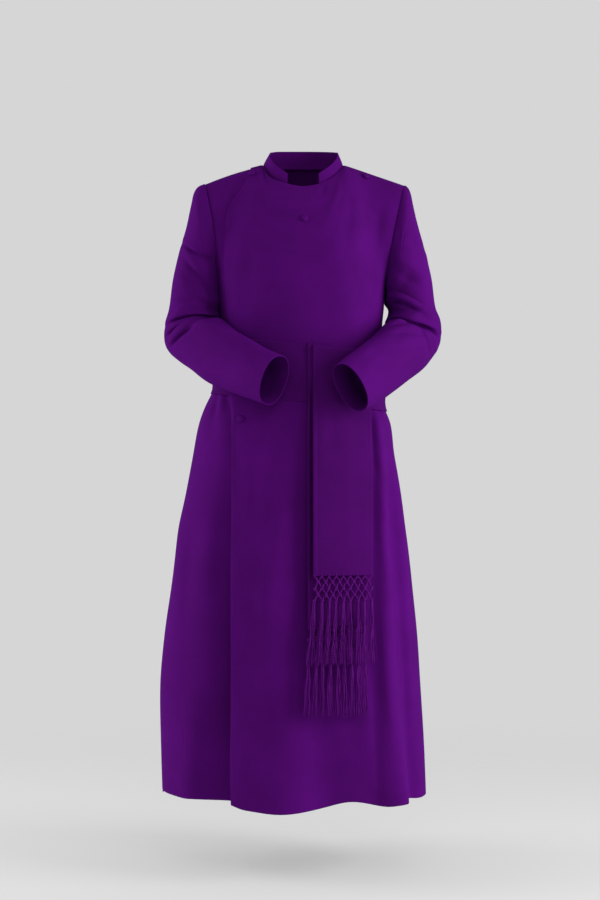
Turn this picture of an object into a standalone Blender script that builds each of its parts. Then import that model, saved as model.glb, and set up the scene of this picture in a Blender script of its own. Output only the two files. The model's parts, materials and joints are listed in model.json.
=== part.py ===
"""A double-breasted cassock, worn, with a fringed cincture, as hollow cloth walls.

Frame: metres, +Z up. The front faces -Y and the wearer's left is +X. The origin is the middle of the neck hole,
level with the neck ends of the shoulder seams, where the wearer's shoulders hold the garment up.
Every length below is in millimetres, and MM turns it into metres as a mesh is made.

The body form is read from a table of level sections up to the armpit, and above it from arcs that rise to the
neck loop and the shoulder seams. A panel is a range of that form. `side` runs round the body: 0 is centre front,
1 the wearer's left side seam, 2 centre back, and -1 and 3 the right side seam. `rise` runs up it: -1 is the hem,
0 the armpit and 1 the neck or shoulder.
"""

import math
from collections import namedtuple

import bmesh
import bpy
from mathutils import Vector
from mathutils.bvhtree import BVHTree

MM = 0.001

CLOTH = 2.0  # thickness of every cloth wall
SEAM_GAP = 0.35  # between two pieces that meet at a seam
LAP = 2.6  # how far the upper front lies over the under front
BACK_START = 1.0 + 1e-9  # the `side` where the back begins, just past the front's last


def table(columns, *rows):
    """A short table: one row a section or fold, with named columns."""
    row_type = namedtuple("Row", columns)
    return [row_type(*row) for row in rows]


# ---------------------------------------------------------------- the body form

ARMPIT = -255.0
HEM = -1344.0

BODY = table(
    "height half_width front back centre_x squareness",
    (HEM, 281, 198, 212, -19, 2.0),
    (-1232, 281, 195, 209, -23, 2.0),
    (-1103, 277, 190, 202, -27, 2.0),
    (-1006, 270, 185, 194, -26, 2.0),
    (-909, 258, 178, 184, -24, 2.05),
    (-812, 246, 170, 173, -23, 2.05),
    (-716, 230, 161, 160, -22, 2.1),
    (-619, 214, 151, 147, -20, 2.15),
    (-552, 204, 144, 137, -17, 2.2),
    (-508, 184, 135, 123, -17, 2.2),
    (-470, 178, 128, 112, -8, 2.2),
    (-430, 173, 125, 108, -6, 2.2),
    (-361, 171, 126, 112, -3, 2.2),
    (-300, 173, 129, 119, -1, 2.2),
    (ARMPIT, 178, 130, 123, -1, 2.2),
)

# The neck loop, from above: half width, and how far it reaches to the front and to the back.
NECK_HALF, NECK_FRONT, NECK_BACK = 87.0, 68.0, 60.0
NECK_DROP, NECK_NAPE = -53.0, 6.0  # its height at centre front and at centre back
NECK_SIDE = 0.42  # the `side` of the neck ends of the shoulder seams
TIP_X, TIP_Z = 214.0, -42.0  # the shoulder tips
TIP_SHIFT = 4.0  # both tips lie a little to the wearer's left
SHOULDER_RISE = 3.5  # how far the shoulder seam's middle stands over a straight line
FRONT_ARC, BACK_ARC = 1.85, 2.5  # how full the front and back are between armpit and shoulder

# The armhole: its reach to front and back, and how far its lower half is scooped in, for the right and the left.
HOLE_FRONT, HOLE_BACK = 57.0, 54.0
HOLE_INSET = {-1: 5.0, 1: 0.5}
HOLE_BLEND = 0.55  # the `side` from which a panel turns towards the armhole

# Soft folds of the skirt. Each x is where the fold runs at that level, and reach is how far out it carries the cloth.
SKIRT_TOP, KNEE = -500.0, -920.0
FOLDS = table(
    "face x_waist x_knee x_hem width from_z reach_knee reach_hem",
    ("front", -40, -52, -58, 95, -640, 12, 44),  # broad lobe of the upper front
    ("front", 12, 14, 104, 46, -520, -12, -56),  # trough beside the cincture ends
    ("front", 150, 172, 186, 34, -500, 15, 34),  # ridge on the wearer's left
    ("front", 172, 207, 234, 24, -600, -6, -14),
    ("front", -163, -180, -178, 40, -560, -8, -26),  # hollow behind the front edge
    ("front", -187, -216, -238, 32, -560, 7, 20),
    ("back", -150, -196, -206, 44, -520, 12, 26),
    ("back", -98, -128, -140, 34, -510, -12, -30),
    ("back", -48, -62, -70, 42, -505, 13, 26),
    ("back", 0, -2, -10, 30, -500, -13, -30),
    ("back", 46, 60, 58, 42, -505, 13, 28),
    ("back", 96, 122, 128, 34, -510, -12, -30),
    ("back", 148, 176, 186, 44, -520, 12, 24),
)

# Gathers that the cincture presses into the skirt, dying out below it.
GATHER_LENGTH = 70.0
GATHERS = table(
    "face x width reach",
    ("front", -180, 9, -6),
    ("front", -161, 10, -7),
    ("front", 157, 10, -8),
    ("back", -148, 13, -5),
    ("back", -112, 11, -5),
    ("back", -60, 11, -6),
    ("back", 62, 11, -6),
    ("back", 106, 11, -5),
    ("back", 144, 13, -5),
)

# The free edge of the upper front: its x at each height.
UPPER_EDGE = table(
    "height x",
    (HEM, -146),
    (-920, -147),
    (-504, -148),
    (-356, -151),
    (-251, -157),
    (-157, -162),
    (-96, -158),
    (-67, -139),
    (-44, -121),
    (-14, -112),
    (5, -110),
)
UNDER_EDGE_X = 46.0  # the hidden edge of the under front
UNDER_DIP = 11.0  # how far back the under front hangs at the hem


def read(rows, column, height):
    """The column's value at a height, on a smooth curve through the table's rows."""
    if height <= rows[0].height:
        return float(getattr(rows[0], column))
    if height >= rows[-1].height:
        return float(getattr(rows[-1], column))
    k = max(i for i, row in enumerate(rows) if row.height <= height)
    k = min(k, len(rows) - 2)

    def slope(i):
        low, high = rows[max(i - 1, 0)], rows[min(i + 1, len(rows) - 1)]
        return (getattr(high, column) - getattr(low, column)) / (high.height - low.height)

    span = rows[k + 1].height - rows[k].height
    u = (height - rows[k].height) / span
    start, end = getattr(rows[k], column), getattr(rows[k + 1], column)
    bend = (u**3 - 2 * u**2 + u) * slope(k) + (u**3 - u**2) * slope(k + 1)
    return start + (end - start) * (3 * u**2 - 2 * u**3) + span * bend


def ease(u):
    """0 below 0, 1 above 1, and smooth between."""
    u = min(max(u, 0.0), 1.0)
    return u * u * (3 - 2 * u)


def power(value, exponent):
    return math.copysign(abs(value) ** exponent, value)


def bump(angle, face, x, width, half_width, centre_x):
    """A soft ridge of height 1 on the line at x, by distance round the body."""
    sine = min(max((x - centre_x) / half_width, -0.98), 0.98)
    line = math.degrees(math.asin(sine))
    if face == "back":
        line = 180.0 - line
    away = (angle - line + 180.0) % 360.0 - 180.0
    return math.exp(-((math.radians(away) * half_width / width) ** 2))


def fold_reach(height, angle, half_width, centre_x):
    """How far the skirt's folds and gathers carry the cloth out, at a height and an angle round the body."""
    total = 0.0
    if height > SKIRT_TOP + GATHER_LENGTH:
        return total
    for fold in FOLDS:
        if height > fold.from_z:
            continue
        if height > KNEE:
            u = (height - SKIRT_TOP) / (KNEE - SKIRT_TOP)
            x = fold.x_waist + (fold.x_knee - fold.x_waist) * u
            reach = fold.reach_knee * ease((height - fold.from_z) / (KNEE - fold.from_z))
        else:
            u = (height - KNEE) / (HEM - KNEE)
            x = fold.x_knee + (fold.x_hem - fold.x_knee) * u
            reach = fold.reach_knee + (fold.reach_hem - fold.reach_knee) * ease(u)
        total += reach * bump(angle, fold.face, x, fold.width, half_width, centre_x)
    fade = 1 - ease(abs(height - SKIRT_TOP) / GATHER_LENGTH)
    for gather in GATHERS:
        total += gather.reach * fade * bump(angle, gather.face, gather.x, gather.width, half_width, centre_x)
    return total


def level(height, angle, folded=True):
    """A point of the body form at a height: angle 0 is centre front, 90 the wearer's left, 180 centre back."""
    half_width = read(BODY, "half_width", height)
    centre_x = read(BODY, "centre_x", height)
    turn = math.radians(angle)
    depth = read(BODY, "front" if math.cos(turn) > 0 else "back", height)
    exponent = 2.0 / read(BODY, "squareness", height)
    x = centre_x + half_width * power(math.sin(turn), exponent)
    y = -depth * power(math.cos(turn), exponent)
    reach = fold_reach(height, angle, half_width, centre_x) if folded else 0.0
    outward = Vector(((x - centre_x) / half_width**2, y / depth**2, 0)).normalized()
    return Vector((x, y, height)) + reach * outward


def neck_loop(angle):
    """A point of the neck loop, by the same angle as level()."""
    turn = math.radians(angle)
    sine, cosine = math.sin(turn), math.cos(turn)
    depth = NECK_FRONT if cosine > 0 else NECK_BACK
    height = (NECK_DROP if cosine > 0 else NECK_NAPE) * abs(cosine) ** 1.5
    return Vector((NECK_HALF * sine, -depth * cosine, height))


def shoulder(hand, along):
    """A point of the shoulder seam, from the neck (along 0) to the tip (along 1). hand 1 is the wearer's left."""
    neck = Vector((hand * NECK_HALF, 0, 0))
    tip = Vector((hand * TIP_X + TIP_SHIFT, 0, TIP_Z))
    return neck.lerp(tip, along) + Vector((0, 0, SHOULDER_RISE * math.sin(math.pi * along)))


def armhole(hand, face, up):
    """A point of the armhole's edge, from the armpit (up 0) to the shoulder tip (up 1)."""
    pit = level(ARMPIT, 90.0 * hand)
    tip = shoulder(hand, 1.0)
    climb = (1 - math.cos(math.pi * up)) / 2
    round_it = max(math.sin(math.pi * up), 0.0)
    inset = hand * HOLE_INSET[hand] * max(math.sin(math.pi * climb), 0.0) ** 1.5
    x = pit.x + (tip.x - pit.x) * climb**1.4 - inset
    y = (-HOLE_FRONT if face == "front" else HOLE_BACK) * round_it
    return Vector((x, y, pit.z + (tip.z - pit.z) * climb))


def upper(side, up):
    """A point of the form above the armpit. side is -1 to 1 on the front and 1 to 3 on the back; up is 0 to 1."""
    face = "front" if side <= 1 else "back"
    across = side if face == "front" else 2 - side
    share, hand = abs(across), 1 if across >= 0 else -1
    base = level(ARMPIT, 90.0 * side)
    if share <= NECK_SIDE:
        turn = 90.0 * across / NECK_SIDE
        top = neck_loop(turn if face == "front" else 180.0 - turn)
    else:
        top = shoulder(hand, (share - NECK_SIDE) / (1 - NECK_SIDE))
    exponent = 2.0 / (FRONT_ARC if face == "front" else BACK_ARC)
    ratio = min(abs(top.y / base.y), 1.0) if abs(base.y) > 1e-6 else 0.0
    last = math.acos(ratio ** (1 / exponent))
    turn = up * last
    x = base.x + (top.x - base.x) * ease(up)
    y = base.y * max(math.cos(turn), 0.0) ** exponent
    z = base.z + (top.z - base.z) * (math.sin(turn) / math.sin(last)) ** exponent
    point = Vector((x, y, z))
    if share > HOLE_BLEND:
        pit, tip = level(ARMPIT, 90.0 * hand), shoulder(hand, 1.0)
        end = Vector((pit.x + (tip.x - pit.x) * ease(up), 0, pit.z + (tip.z - pit.z) * math.sin(turn) ** exponent))
        u = (share - HOLE_BLEND) / (1 - HOLE_BLEND)
        pull = u * (1 - 0.5 * (1 - u) ** 2)
        point += (armhole(hand, face, up) - end) * pull
    return point


def form(side, rise):
    """A point of the whole body form."""
    if rise <= 0:
        return level(ARMPIT + rise * (ARMPIT - HEM), 90.0 * side)
    return upper(side, rise)


def form_normal(side, rise):
    """The form's outward normal, by small steps. Above the armpit, front and back part at the armholes."""
    step = 0.004
    low, high = side - step, side + step
    if rise > 0:
        first = -1.0 if side <= 1.0 else BACK_START
        low, high = max(low, first), min(high, first + 2.0)
    below, above = max(rise - step, -1.0), min(rise + step, 1.0)
    if rise <= 0 < above:
        above = 0.0
    across = form(high, rise) - form(low, rise)
    along = form(side, above) - form(side, below)
    return across.cross(along).normalized()


# ---------------------------------------------------------------- the cincture's sizes

SASH_CLOTH = 2.0
BAND_TOP, BAND_BOTTOM, BAND_TILT = -388.0, -508.0, 0.1  # at centre front, and the fall to the wearer's left
BAND_LIFT = 6.8  # the band's inner face, off the body form
BAND_LAYERS = 7.6  # what the band adds between the body and a sleeve
END_MIDDLE, END_REACH, END_LAYERS = 80.0, 86.0, 7.6  # where its hanging ends lie, and what they add there


def band_height(x, up):
    """The band's height at x, from its lower edge (up 0) to its upper edge (up 1)."""
    return BAND_BOTTOM + (BAND_TOP - BAND_BOTTOM) * up - BAND_TILT * (x + 8.0)


# ---------------------------------------------------------------- making meshes

PURPLE = ("purple_cloth", (0.085, 0.012, 0.16))
SASH = ("purple_sash", (0.08, 0.011, 0.15))
FRINGE = ("purple_fringe", (0.11, 0.016, 0.19))
BUTTON = ("purple_button", (0.09, 0.013, 0.165))


def cloth_material(name, rgb):
    made = bpy.data.materials.new(name)
    made.use_nodes = True
    shader = made.node_tree.nodes["Principled BSDF"]
    shader.inputs["Base Color"].default_value = (*rgb, 1.0)
    shader.inputs["Roughness"].default_value = 0.75
    return made


def new_object(name, bm, colour):
    bmesh.ops.scale(bm, vec=(MM, MM, MM), verts=bm.verts)
    bmesh.ops.recalc_face_normals(bm, faces=bm.faces)
    mesh = bpy.data.meshes.new(name)
    bm.to_mesh(mesh)
    bm.free()
    made = bpy.data.objects.new(name, mesh)
    bpy.context.scene.collection.objects.link(made)
    mesh.materials.append(cloth_material(*colour))
    mesh.shade_smooth()
    return made


def wall(name, outer, inner, colour, closed=False, mirrored=False):
    """One closed cloth wall from two grids of points, outer and inner.

    closed joins each row's ends into a ring, and mirrored turns every facet pair's shared edge the other way.
    """
    bm = bmesh.new()
    rows, columns = len(outer), len(outer[0])
    out = [[bm.verts.new(p) for p in row] for row in outer]
    inn = [[bm.verts.new(p) for p in row] for row in inner]
    last = columns if closed else columns - 1
    for j in range(last):
        k = (j + 1) % columns
        for i in range(rows - 1):
            for grid in (out, inn):
                corners = [grid[i][j], grid[i][k], grid[i + 1][k], grid[i + 1][j]]
                if mirrored:
                    corners = corners[1:] + corners[:1]
                bm.faces.new(corners[:3])
                bm.faces.new(corners[2:] + corners[:1])
        bm.faces.new((out[0][k], out[0][j], inn[0][j], inn[0][k]))
        bm.faces.new((out[-1][j], out[-1][k], inn[-1][k], inn[-1][j]))
    if not closed:
        for i in range(rows - 1):
            bm.faces.new((out[i][0], out[i + 1][0], inn[i + 1][0], inn[i][0]))
            bm.faces.new((out[i + 1][-1], out[i][-1], inn[i][-1], inn[i + 1][-1]))
    return new_object(name, bm, colour)


def spread(stops, rise):
    """The sides of a row's columns, from stops of (side at a rise, columns up to it)."""
    sides = [stops[0][0](rise)]
    for (start, _), (end, columns) in zip(stops, stops[1:]):
        low, high = start(rise), end(rise)
        sides += [low + (high - low) * (j + 1) / columns for j in range(columns)]
    return sides


# ---------------------------------------------------------------- body panels

LOWER_HEIGHTS = [HEM, -1255, -1165, -1075, -985, -895, -805, -715, -630, -565, -520, -480, -430, -370, -310]
UPPER_RISES = [0.1, 0.2, 0.3, 0.4, 0.5, 0.58, 0.64, 0.7, 0.8, 0.9, 1.0]


def panel_rises():
    return [(height - ARMPIT) / (ARMPIT - HEM) for height in LOWER_HEIGHTS] + [0.0] + UPPER_RISES


def panel(name, stops, lift, mirrored=False):
    """A body panel, between stops round the body, its inner face lifted off the form by lift(side, rise)."""
    outer, inner = [], []
    for rise in panel_rises():
        out_row, in_row = [], []
        for side in spread(stops, rise):
            middle = (stops[0][0](rise) + stops[-1][0](rise)) / 2
            shift = Vector((0, SEAM_GAP / 2 * (-1 if middle < 1 else 1), 0))
            point, normal = form(side, rise) + shift, form_normal(side, rise)
            out_row.append(point + normal * (lift(side, rise) + CLOTH))
            in_row.append(point + normal * lift(side, rise))
        outer.append(out_row)
        inner.append(in_row)
    return wall(name, outer, inner, PURPLE, mirrored=mirrored)


def side_at(target_x, rise):
    """The side of the front where the form's x is target_x(height), found by halving."""
    low, high = -0.99, 0.9
    for _ in range(30):
        middle = (low + high) / 2
        point = form(middle, rise)
        if point.x < target_x(point.z):
            low = middle
        else:
            high = middle
    return (low + high) / 2


EDGE_CACHE = {}


def upper_edge(rise):
    """The side of the upper front's free edge."""
    if rise not in EDGE_CACHE:
        EDGE_CACHE[rise] = side_at(lambda height: read(UPPER_EDGE, "x", height), rise)
    return EDGE_CACHE[rise]


def neck_line(rise):
    """A line inside the free edge that runs up to the neck end of the shoulder seam."""
    return max(-NECK_SIDE, upper_edge(rise) + 0.08)


def under_edge(rise):
    return side_at(lambda height: UNDER_EDGE_X, rise)


def upper_lift(side, rise):
    """The upper front lies a lap's height off the form, and comes down to it by its side seam."""
    return LAP * (1 - ease((side - 0.3) / 0.5))


def under_lift(side, rise):
    """The under front's free part hangs back, more so towards the hem."""
    drop = ease(-(rise + 0.25) / 0.75)
    across = ease((side + 0.75) / 0.35)
    return -UNDER_DIP * drop * across


def no_lift(side, rise):
    return 0.0


def at(side):
    return lambda rise: side


NECK_STOPS = [(under_edge, 9), (at(NECK_SIDE), 3)]  # the columns that end at the front of the neck
BACK_NECK_COLUMNS = 5


def make_body():
    lap = [(upper_edge, 0), (neck_line, 4)] + NECK_STOPS[:1]
    panel("front_left", lap + NECK_STOPS[1:] + [(at(1.0), 8)], upper_lift)
    panel("front_right", [(at(-1.0), 0), (upper_edge, 6)] + lap[1:], under_lift)
    gap = SEAM_GAP / 2 / 190.0
    left_back = [(at(BACK_START), 0), (at(2 - NECK_SIDE), 8), (at(2.0 - gap), BACK_NECK_COLUMNS)]
    panel("back_left", left_back, no_lift, mirrored=True)
    panel("back_right", [(at(2.0 + gap), 0), (at(2 + NECK_SIDE), BACK_NECK_COLUMNS), (at(3.0), 8)], no_lift)


# ---------------------------------------------------------------- sleeves

# Rings of the two sleeves. o is a point on the outer line, which runs from the shoulder tip down the outside of the
# arm, round the elbow and along the underside of the forearm; i is the point across from it; depth is the half depth.
RIGHT_SLEEVE = table(
    "ox oy oz ix iy iz depth",
    (-209, 0, -43, -179, 0, -255, 60),
    (-229, 0, -49, -183, 0, -261, 63),
    (-238, 0, -82, -184, 0, -267, 64),
    (-249, 0, -133, -184, 0, -273, 64),
    (-263, 0, -183, -183, 0, -280, 63),
    (-272, 1, -230, -181, -1, -290, 62),
    (-281, 4, -273, -180, -4, -302, 61),
    (-288, 10, -311, -180, -14, -316, 60),
    (-287, 21, -348, -186, -35, -328, 58),
    (-272, 21, -388, -190, -49, -330, 55),
    (-247, 0, -423, -190, -62, -332, 52),
    (-224, -30, -445, -184, -72, -334, 49),
    (-188, -72, -467, -153, -110, -357, 45),
    (-149, -112, -484, -117, -147, -379, 43),
    (-112, -149, -499, -82, -179, -400, 41),
    (-73, -186, -514, -45, -204, -417, 40),
)
LEFT_SLEEVE = table(
    "ox oy oz ix iy iz depth",
    (217, 0, -43, 177, 0, -255, 60),
    (227, 0, -49, 184, 0, -261, 63),
    (234, 0, -82, 186, 0, -267, 64),
    (245, 0, -131, 187, 0, -273, 64),
    (259, 0, -183, 187, 0, -280, 63),
    (269, 1, -230, 187, -1, -290, 62),
    (278, 4, -273, 187, -4, -302, 61),
    (285, 10, -311, 187, -14, -317, 60),
    (287, 21, -348, 190, -35, -330, 58),
    (277, 21, -390, 193, -48, -332, 55),
    (254, 0, -425, 195, -60, -334, 52),
    (235, -30, -444, 191, -72, -339, 49),
    (206, -70, -466, 163, -112, -364, 45),
    (177, -112, -488, 133, -151, -388, 43),
    (149, -151, -509, 103, -186, -411, 41),
    (120, -188, -527, 72, -206, -434, 40),
)
# Folds of the sleeves: along is the ring they lie on, turn the angle from the outer line (90 is the front).
SLEEVE_FOLDS = table(
    "along turn length spread reach",
    (9.5, 180, 0.9, 60, -5),  # the crease in the bend of the elbow
    (7.9, 170, 0.8, 50, 5),
    (11.1, 170, 0.8, 50, 5),
    (7.2, 140, 0.5, 45, -4),
    (9.5, 0, 1.6, 55, 1.5),  # the point of the elbow
    (5.4, 75, 0.7, 60, 3),
    (4.2, 60, 0.6, 50, -3),
)
SLEEVE_RINGS = 18
SLEEVE_CLEAR = 1.8  # between a sleeve and what it rests on


def along_rows(rows, position):
    """All columns of a table at a position between rows, on a smooth curve."""
    k = min(int(position), len(rows) - 2)
    u = position - k
    before, after = rows[max(k - 1, 0)], rows[min(k + 2, len(rows) - 1)]
    values = []
    for p0, p1, p2, p3 in zip(before, rows[k], rows[k + 1], after):
        bend = (2 * p0 - 5 * p1 + 4 * p2 - p3) * u * u + (3 * p1 - p0 - 3 * p2 + p3) * u**3
        values.append(0.5 * (2 * p1 + (p2 - p0) * u + bend))
    return values


def sleeve_axes(rows, position):
    """Centre of the ring, the half vector to its outer line, and the half vector to its front."""
    ox, oy, oz, ix, iy, iz, depth = along_rows(rows, position)
    centre = Vector((ox + ix, oy + iy, oz + iz)) / 2
    out = Vector((ox - ix, oy - iy, oz - iz)) / 2
    low, high = along_rows(rows, max(position - 0.3, 0)), along_rows(rows, min(position + 0.3, len(rows) - 1))
    onward = Vector([high[k] + high[k + 3] - low[k] - low[k + 3] for k in range(3)])
    front = out.cross(onward).normalized() * depth
    if front.y > 0:
        front.negate()
    return centre, out, front


def sleeve_form(rows, hand, position, turn):
    """A point of a sleeve. The first ring is the armhole's edge; turn 0 is the outer line and 90 the front."""
    centre, out, front = sleeve_axes(rows, position)
    angle = math.radians(turn)
    point = centre + out * power(math.cos(angle), 0.92) + front * power(math.sin(angle), 0.92)
    if position < 1.6:
        edge = sleeve_edge(hand, turn % 360.0)
        point = edge.lerp(point, ease(position / 1.6))
    return point


def sleeve_edge(hand, turn):
    """A point of the sleeve's own edge, just outside the panel's edge and the panel's thickness there."""
    if turn <= 180.0:
        up, side, edge = 1 - turn / 180.0, 1.0 * hand, armhole(hand, "front", 1 - turn / 180.0)
    else:
        up, side, edge = turn / 180.0 - 1, 2.0 - hand, armhole(hand, "back", turn / 180.0 - 1)
    normal = form_normal(side if side != 1.0 or turn <= 180.0 else BACK_START, max(up, 0.004))
    ends = 0.25 + 0.6 * math.cos(math.radians(turn)) ** 4
    edge.x += hand * (SEAM_GAP + ends + CLOTH * max(hand * normal.x, 0.0))
    return edge


def sleeve_normal(rows, hand, position, turn):
    """The sleeve's outward normal. At the armhole it points away from the hole's middle."""
    if position == 0:
        angle = math.radians(turn)
        return Vector((0, -math.sin(angle), math.cos(angle)))
    around = sleeve_form(rows, hand, position, turn + 2) - sleeve_form(rows, hand, position, turn - 2)
    low, high = max(position - 0.05, 0), min(position + 0.05, len(rows) - 1)
    onward = sleeve_form(rows, hand, high, turn) - sleeve_form(rows, hand, low, turn)
    return around.cross(onward).normalized() * hand


def clear_of_body(point, room):
    """The point, moved level away from the body form where it is nearer than room."""
    height = min(point.z, ARMPIT)
    half_width, centre_x = read(BODY, "half_width", height), read(BODY, "centre_x", height)
    depth = read(BODY, "front" if point.y < 0 else "back", height)
    square = read(BODY, "squareness", height)
    for _ in range(4):
        x, y = (point.x - centre_x) / half_width, point.y / depth
        reach = (abs(x) ** square + abs(y) ** square) ** (1 / square)
        slope = Vector((power(x, square - 1) / half_width, power(y, square - 1) / depth, 0)) / reach ** (square - 1)
        away = (reach - 1) / slope.length
        if away >= room:
            break
        point = point + slope.normalized() * (room - away)
    return point


def sleeve_room(position, point):
    """How far the sleeve's inner face stays off the body form: the layers under it, its own cloth and a gap."""
    layers = CLOTH + SLEEVE_CLEAR
    if point.y < 0:
        layers += LAP * ease((position - 1.0) / 3.0)
    over_band = ease((band_height(point.x, 1) + 18.0 - point.z) / 12.0)
    layers += BAND_LAYERS * over_band
    layers += END_LAYERS * over_band * ease((END_REACH - abs(point.x - END_MIDDLE)) / 16.0)
    return layers * ease(position / 0.7) + CLOTH


def sleeve_reach(position, turn):
    total = 0.0
    for fold in SLEEVE_FOLDS:
        away = (turn - fold.turn + 180.0) % 360.0 - 180.0
        total += fold.reach * math.exp(-((position - fold.along) / fold.length) ** 2 - (away / fold.spread) ** 2)
    return total


def make_sleeve(name, rows, hand):
    """A sleeve, its columns running down from the ends of the body's rows at the armhole."""
    turns = [180 * (1 - rise) for rise in reversed(UPPER_RISES)] + [180 * (1 + rise) for rise in [0.0] + UPPER_RISES[:-1]]
    outer, inner = [], []
    for i in range(SLEEVE_RINGS + 1):
        position = (len(rows) - 1) * i / SLEEVE_RINGS
        out_row, in_row = [], []
        for turn in turns:
            point, normal = sleeve_form(rows, hand, position, turn), sleeve_normal(rows, hand, position, turn)
            point += normal * sleeve_reach(position, turn)
            if position > 0:
                point = clear_of_body(point, sleeve_room(position, point))
            out_row.append(point + normal * CLOTH)
            in_row.append(point)
        outer.append(out_row)
        inner.append(in_row)
    return wall(name, outer, inner, PURPLE, closed=True)


# ---------------------------------------------------------------- collar

COLLAR_GAP_X = 34.0  # half the opening between its front ends
COLLAR = table(
    "share height lean_left lean_right",  # share runs from a front end, round the neck, to centre back
    (0.0, 27, 3, 3),
    (0.25, 30, 6, 8),
    (0.55, 32, 16, 22),
    (0.8, 34, 12, 14),
    (1.0, 35, 9, 9),
)
COLLAR_ROWS = 2
COLLAR_INSET = 0.5  # its outer face stands this far inside the neckline


def neck_angles():
    """The angles round the neck of the panels' columns, so that the collar stands on the same corners."""
    first = math.degrees(math.asin(COLLAR_GAP_X / NECK_HALF))
    fronts = [90.0 * side / NECK_SIDE for side in spread([(at(-NECK_SIDE), 0)] + NECK_STOPS, 1.0)]
    back = [90.0 + 90.0 * k / BACK_NECK_COLUMNS for k in range(1, 2 * BACK_NECK_COLUMNS)]
    left = [angle for angle in fronts if angle > first + 3]
    right = [360.0 + angle for angle in fronts if angle < -first - 3]
    return [first] + left + back + right + [360.0 - first]


def make_collar():
    """A band that stands up from the neckline and leans in to the neck, open at centre front."""
    angles = neck_angles()
    outer, inner = [], []
    for i in range(COLLAR_ROWS + 1):
        up = i / COLLAR_ROWS
        out_row, in_row = [], []
        for angle in angles:
            share = 1 - abs(angle - 180.0) / (180.0 - angles[0])
            around = neck_loop(angle + 1) - neck_loop(angle - 1)
            inward = Vector((0, 0, 1)).cross(around).normalized()
            tall = along_share(COLLAR, "height", share)
            lean = along_share(COLLAR, "lean_left" if angle < 180.0 else "lean_right", share)
            point = neck_loop(angle) + inward * (COLLAR_INSET + lean * up**1.2) + Vector((0, 0, tall * up))
            out_row.append(point)
            in_row.append(point + inward * CLOTH)
        outer.append(out_row)
        inner.append(in_row)
    wall("collar", outer, inner, PURPLE)


def along_share(rows, column, share):
    k = max(i for i, row in enumerate(rows) if row.share <= share + 1e-9)
    k = min(k, len(rows) - 2)
    u = (share - rows[k].share) / (rows[k + 1].share - rows[k].share)
    return getattr(rows[k], column) + (getattr(rows[k + 1], column) - getattr(rows[k], column)) * ease(u)


# ---------------------------------------------------------------- cincture

BAND_COLUMNS, BAND_ROWS = 44, 3
FRONT_END = (20.0, 141.0, -866.0)  # its two edges in x, and the height where the weaving stops
REAR_END = (9.0, 130.0, -970.0)
END_TOP = -392.0
END_COLUMNS, END_ROWS = 8, 13
FRONT_END_LIFT, REAR_END_LIFT = 14.8, 10.4  # off the body form at the band
SWING = table("height out", (-1160, 18), (-900, 8), (-500, 0))  # and how much further off it they hang


def make_band():
    outer, inner = [], []
    for i in range(BAND_ROWS + 1):
        out_row, in_row = [], []
        for j in range(BAND_COLUMNS):
            angle = 360.0 * j / BAND_COLUMNS
            guess = level(BAND_BOTTOM, angle, folded=False)
            height = band_height(guess.x, i / BAND_ROWS)
            point = level(height, angle, folded=False)
            ahead, behind = level(height, angle + 2, folded=False), level(height, angle - 2, folded=False)
            normal = (ahead - behind).cross(Vector((0, 0, 1))).normalized()
            out_row.append(point + normal * (BAND_LIFT + SASH_CLOTH))
            in_row.append(point + normal * BAND_LIFT)
        outer.append(out_row)
        inner.append(in_row)
    wall("cincture_band", outer, inner, SASH, closed=True)


def front_point(x, height, lift):
    """A point in front of the unfolded skirt, lifted off it, for what hangs from the cincture."""
    half_width, centre_x = read(BODY, "half_width", height), read(BODY, "centre_x", height)
    square = read(BODY, "squareness", height)
    across = (x - centre_x) / half_width
    y = -read(BODY, "front", height) * (1 - abs(across) ** square) ** (1 / square)
    off = (lift + read(SWING, "out", height)) / max(-front_normal(x, height).y, 0.55)
    return Vector((x, y - off, height))


def front_normal(x, height):
    half_width, centre_x = read(BODY, "half_width", height), read(BODY, "centre_x", height)
    depth, square = read(BODY, "front", height), read(BODY, "squareness", height)
    across = (x - centre_x) / half_width
    forward = (1 - abs(across) ** square) ** (1 / square)
    return Vector((power(across, square - 1) / half_width, -(forward ** (square - 1)) / depth, 0)).normalized()


def make_end(name, end, lift):
    left, right, bottom = end
    outer, inner = [], []
    for i in range(END_ROWS + 1):
        height = bottom + (END_TOP - bottom) * i / END_ROWS
        out_row, in_row = [], []
        for j in range(END_COLUMNS + 1):
            x = left + (right - left) * j / END_COLUMNS
            drop = -BAND_TILT * (x + 8.0) * ease((height - bottom) / (END_TOP - bottom))
            point = front_point(x, height + drop, lift)
            out_row.append(point + front_normal(x, height + drop) * SASH_CLOTH)
            in_row.append(point)
        outer.append(out_row)
        inner.append(in_row)
    wall(name, outer, inner, SASH)


# ---------------------------------------------------------------- fringes

NET_CELLS = 8
NET_DROP = 13.0  # between two rows of knots
KNOT_ROWS = 4
KNOT = 2.2  # half a knot's width and height
TASSEL_STRANDS, TASSEL_STEP = 5, 2.9
STRAND_WIDTH, STRAND_THICK = 2.0, 2.0
FRONT_TASSEL, REAR_TASSEL = 131.0, 132.0
FRINGE_SPREAD = 9.0  # how much wider the tassels' tips stand than the net
HEADER = 5.0  # the strip that the net hangs from


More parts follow.
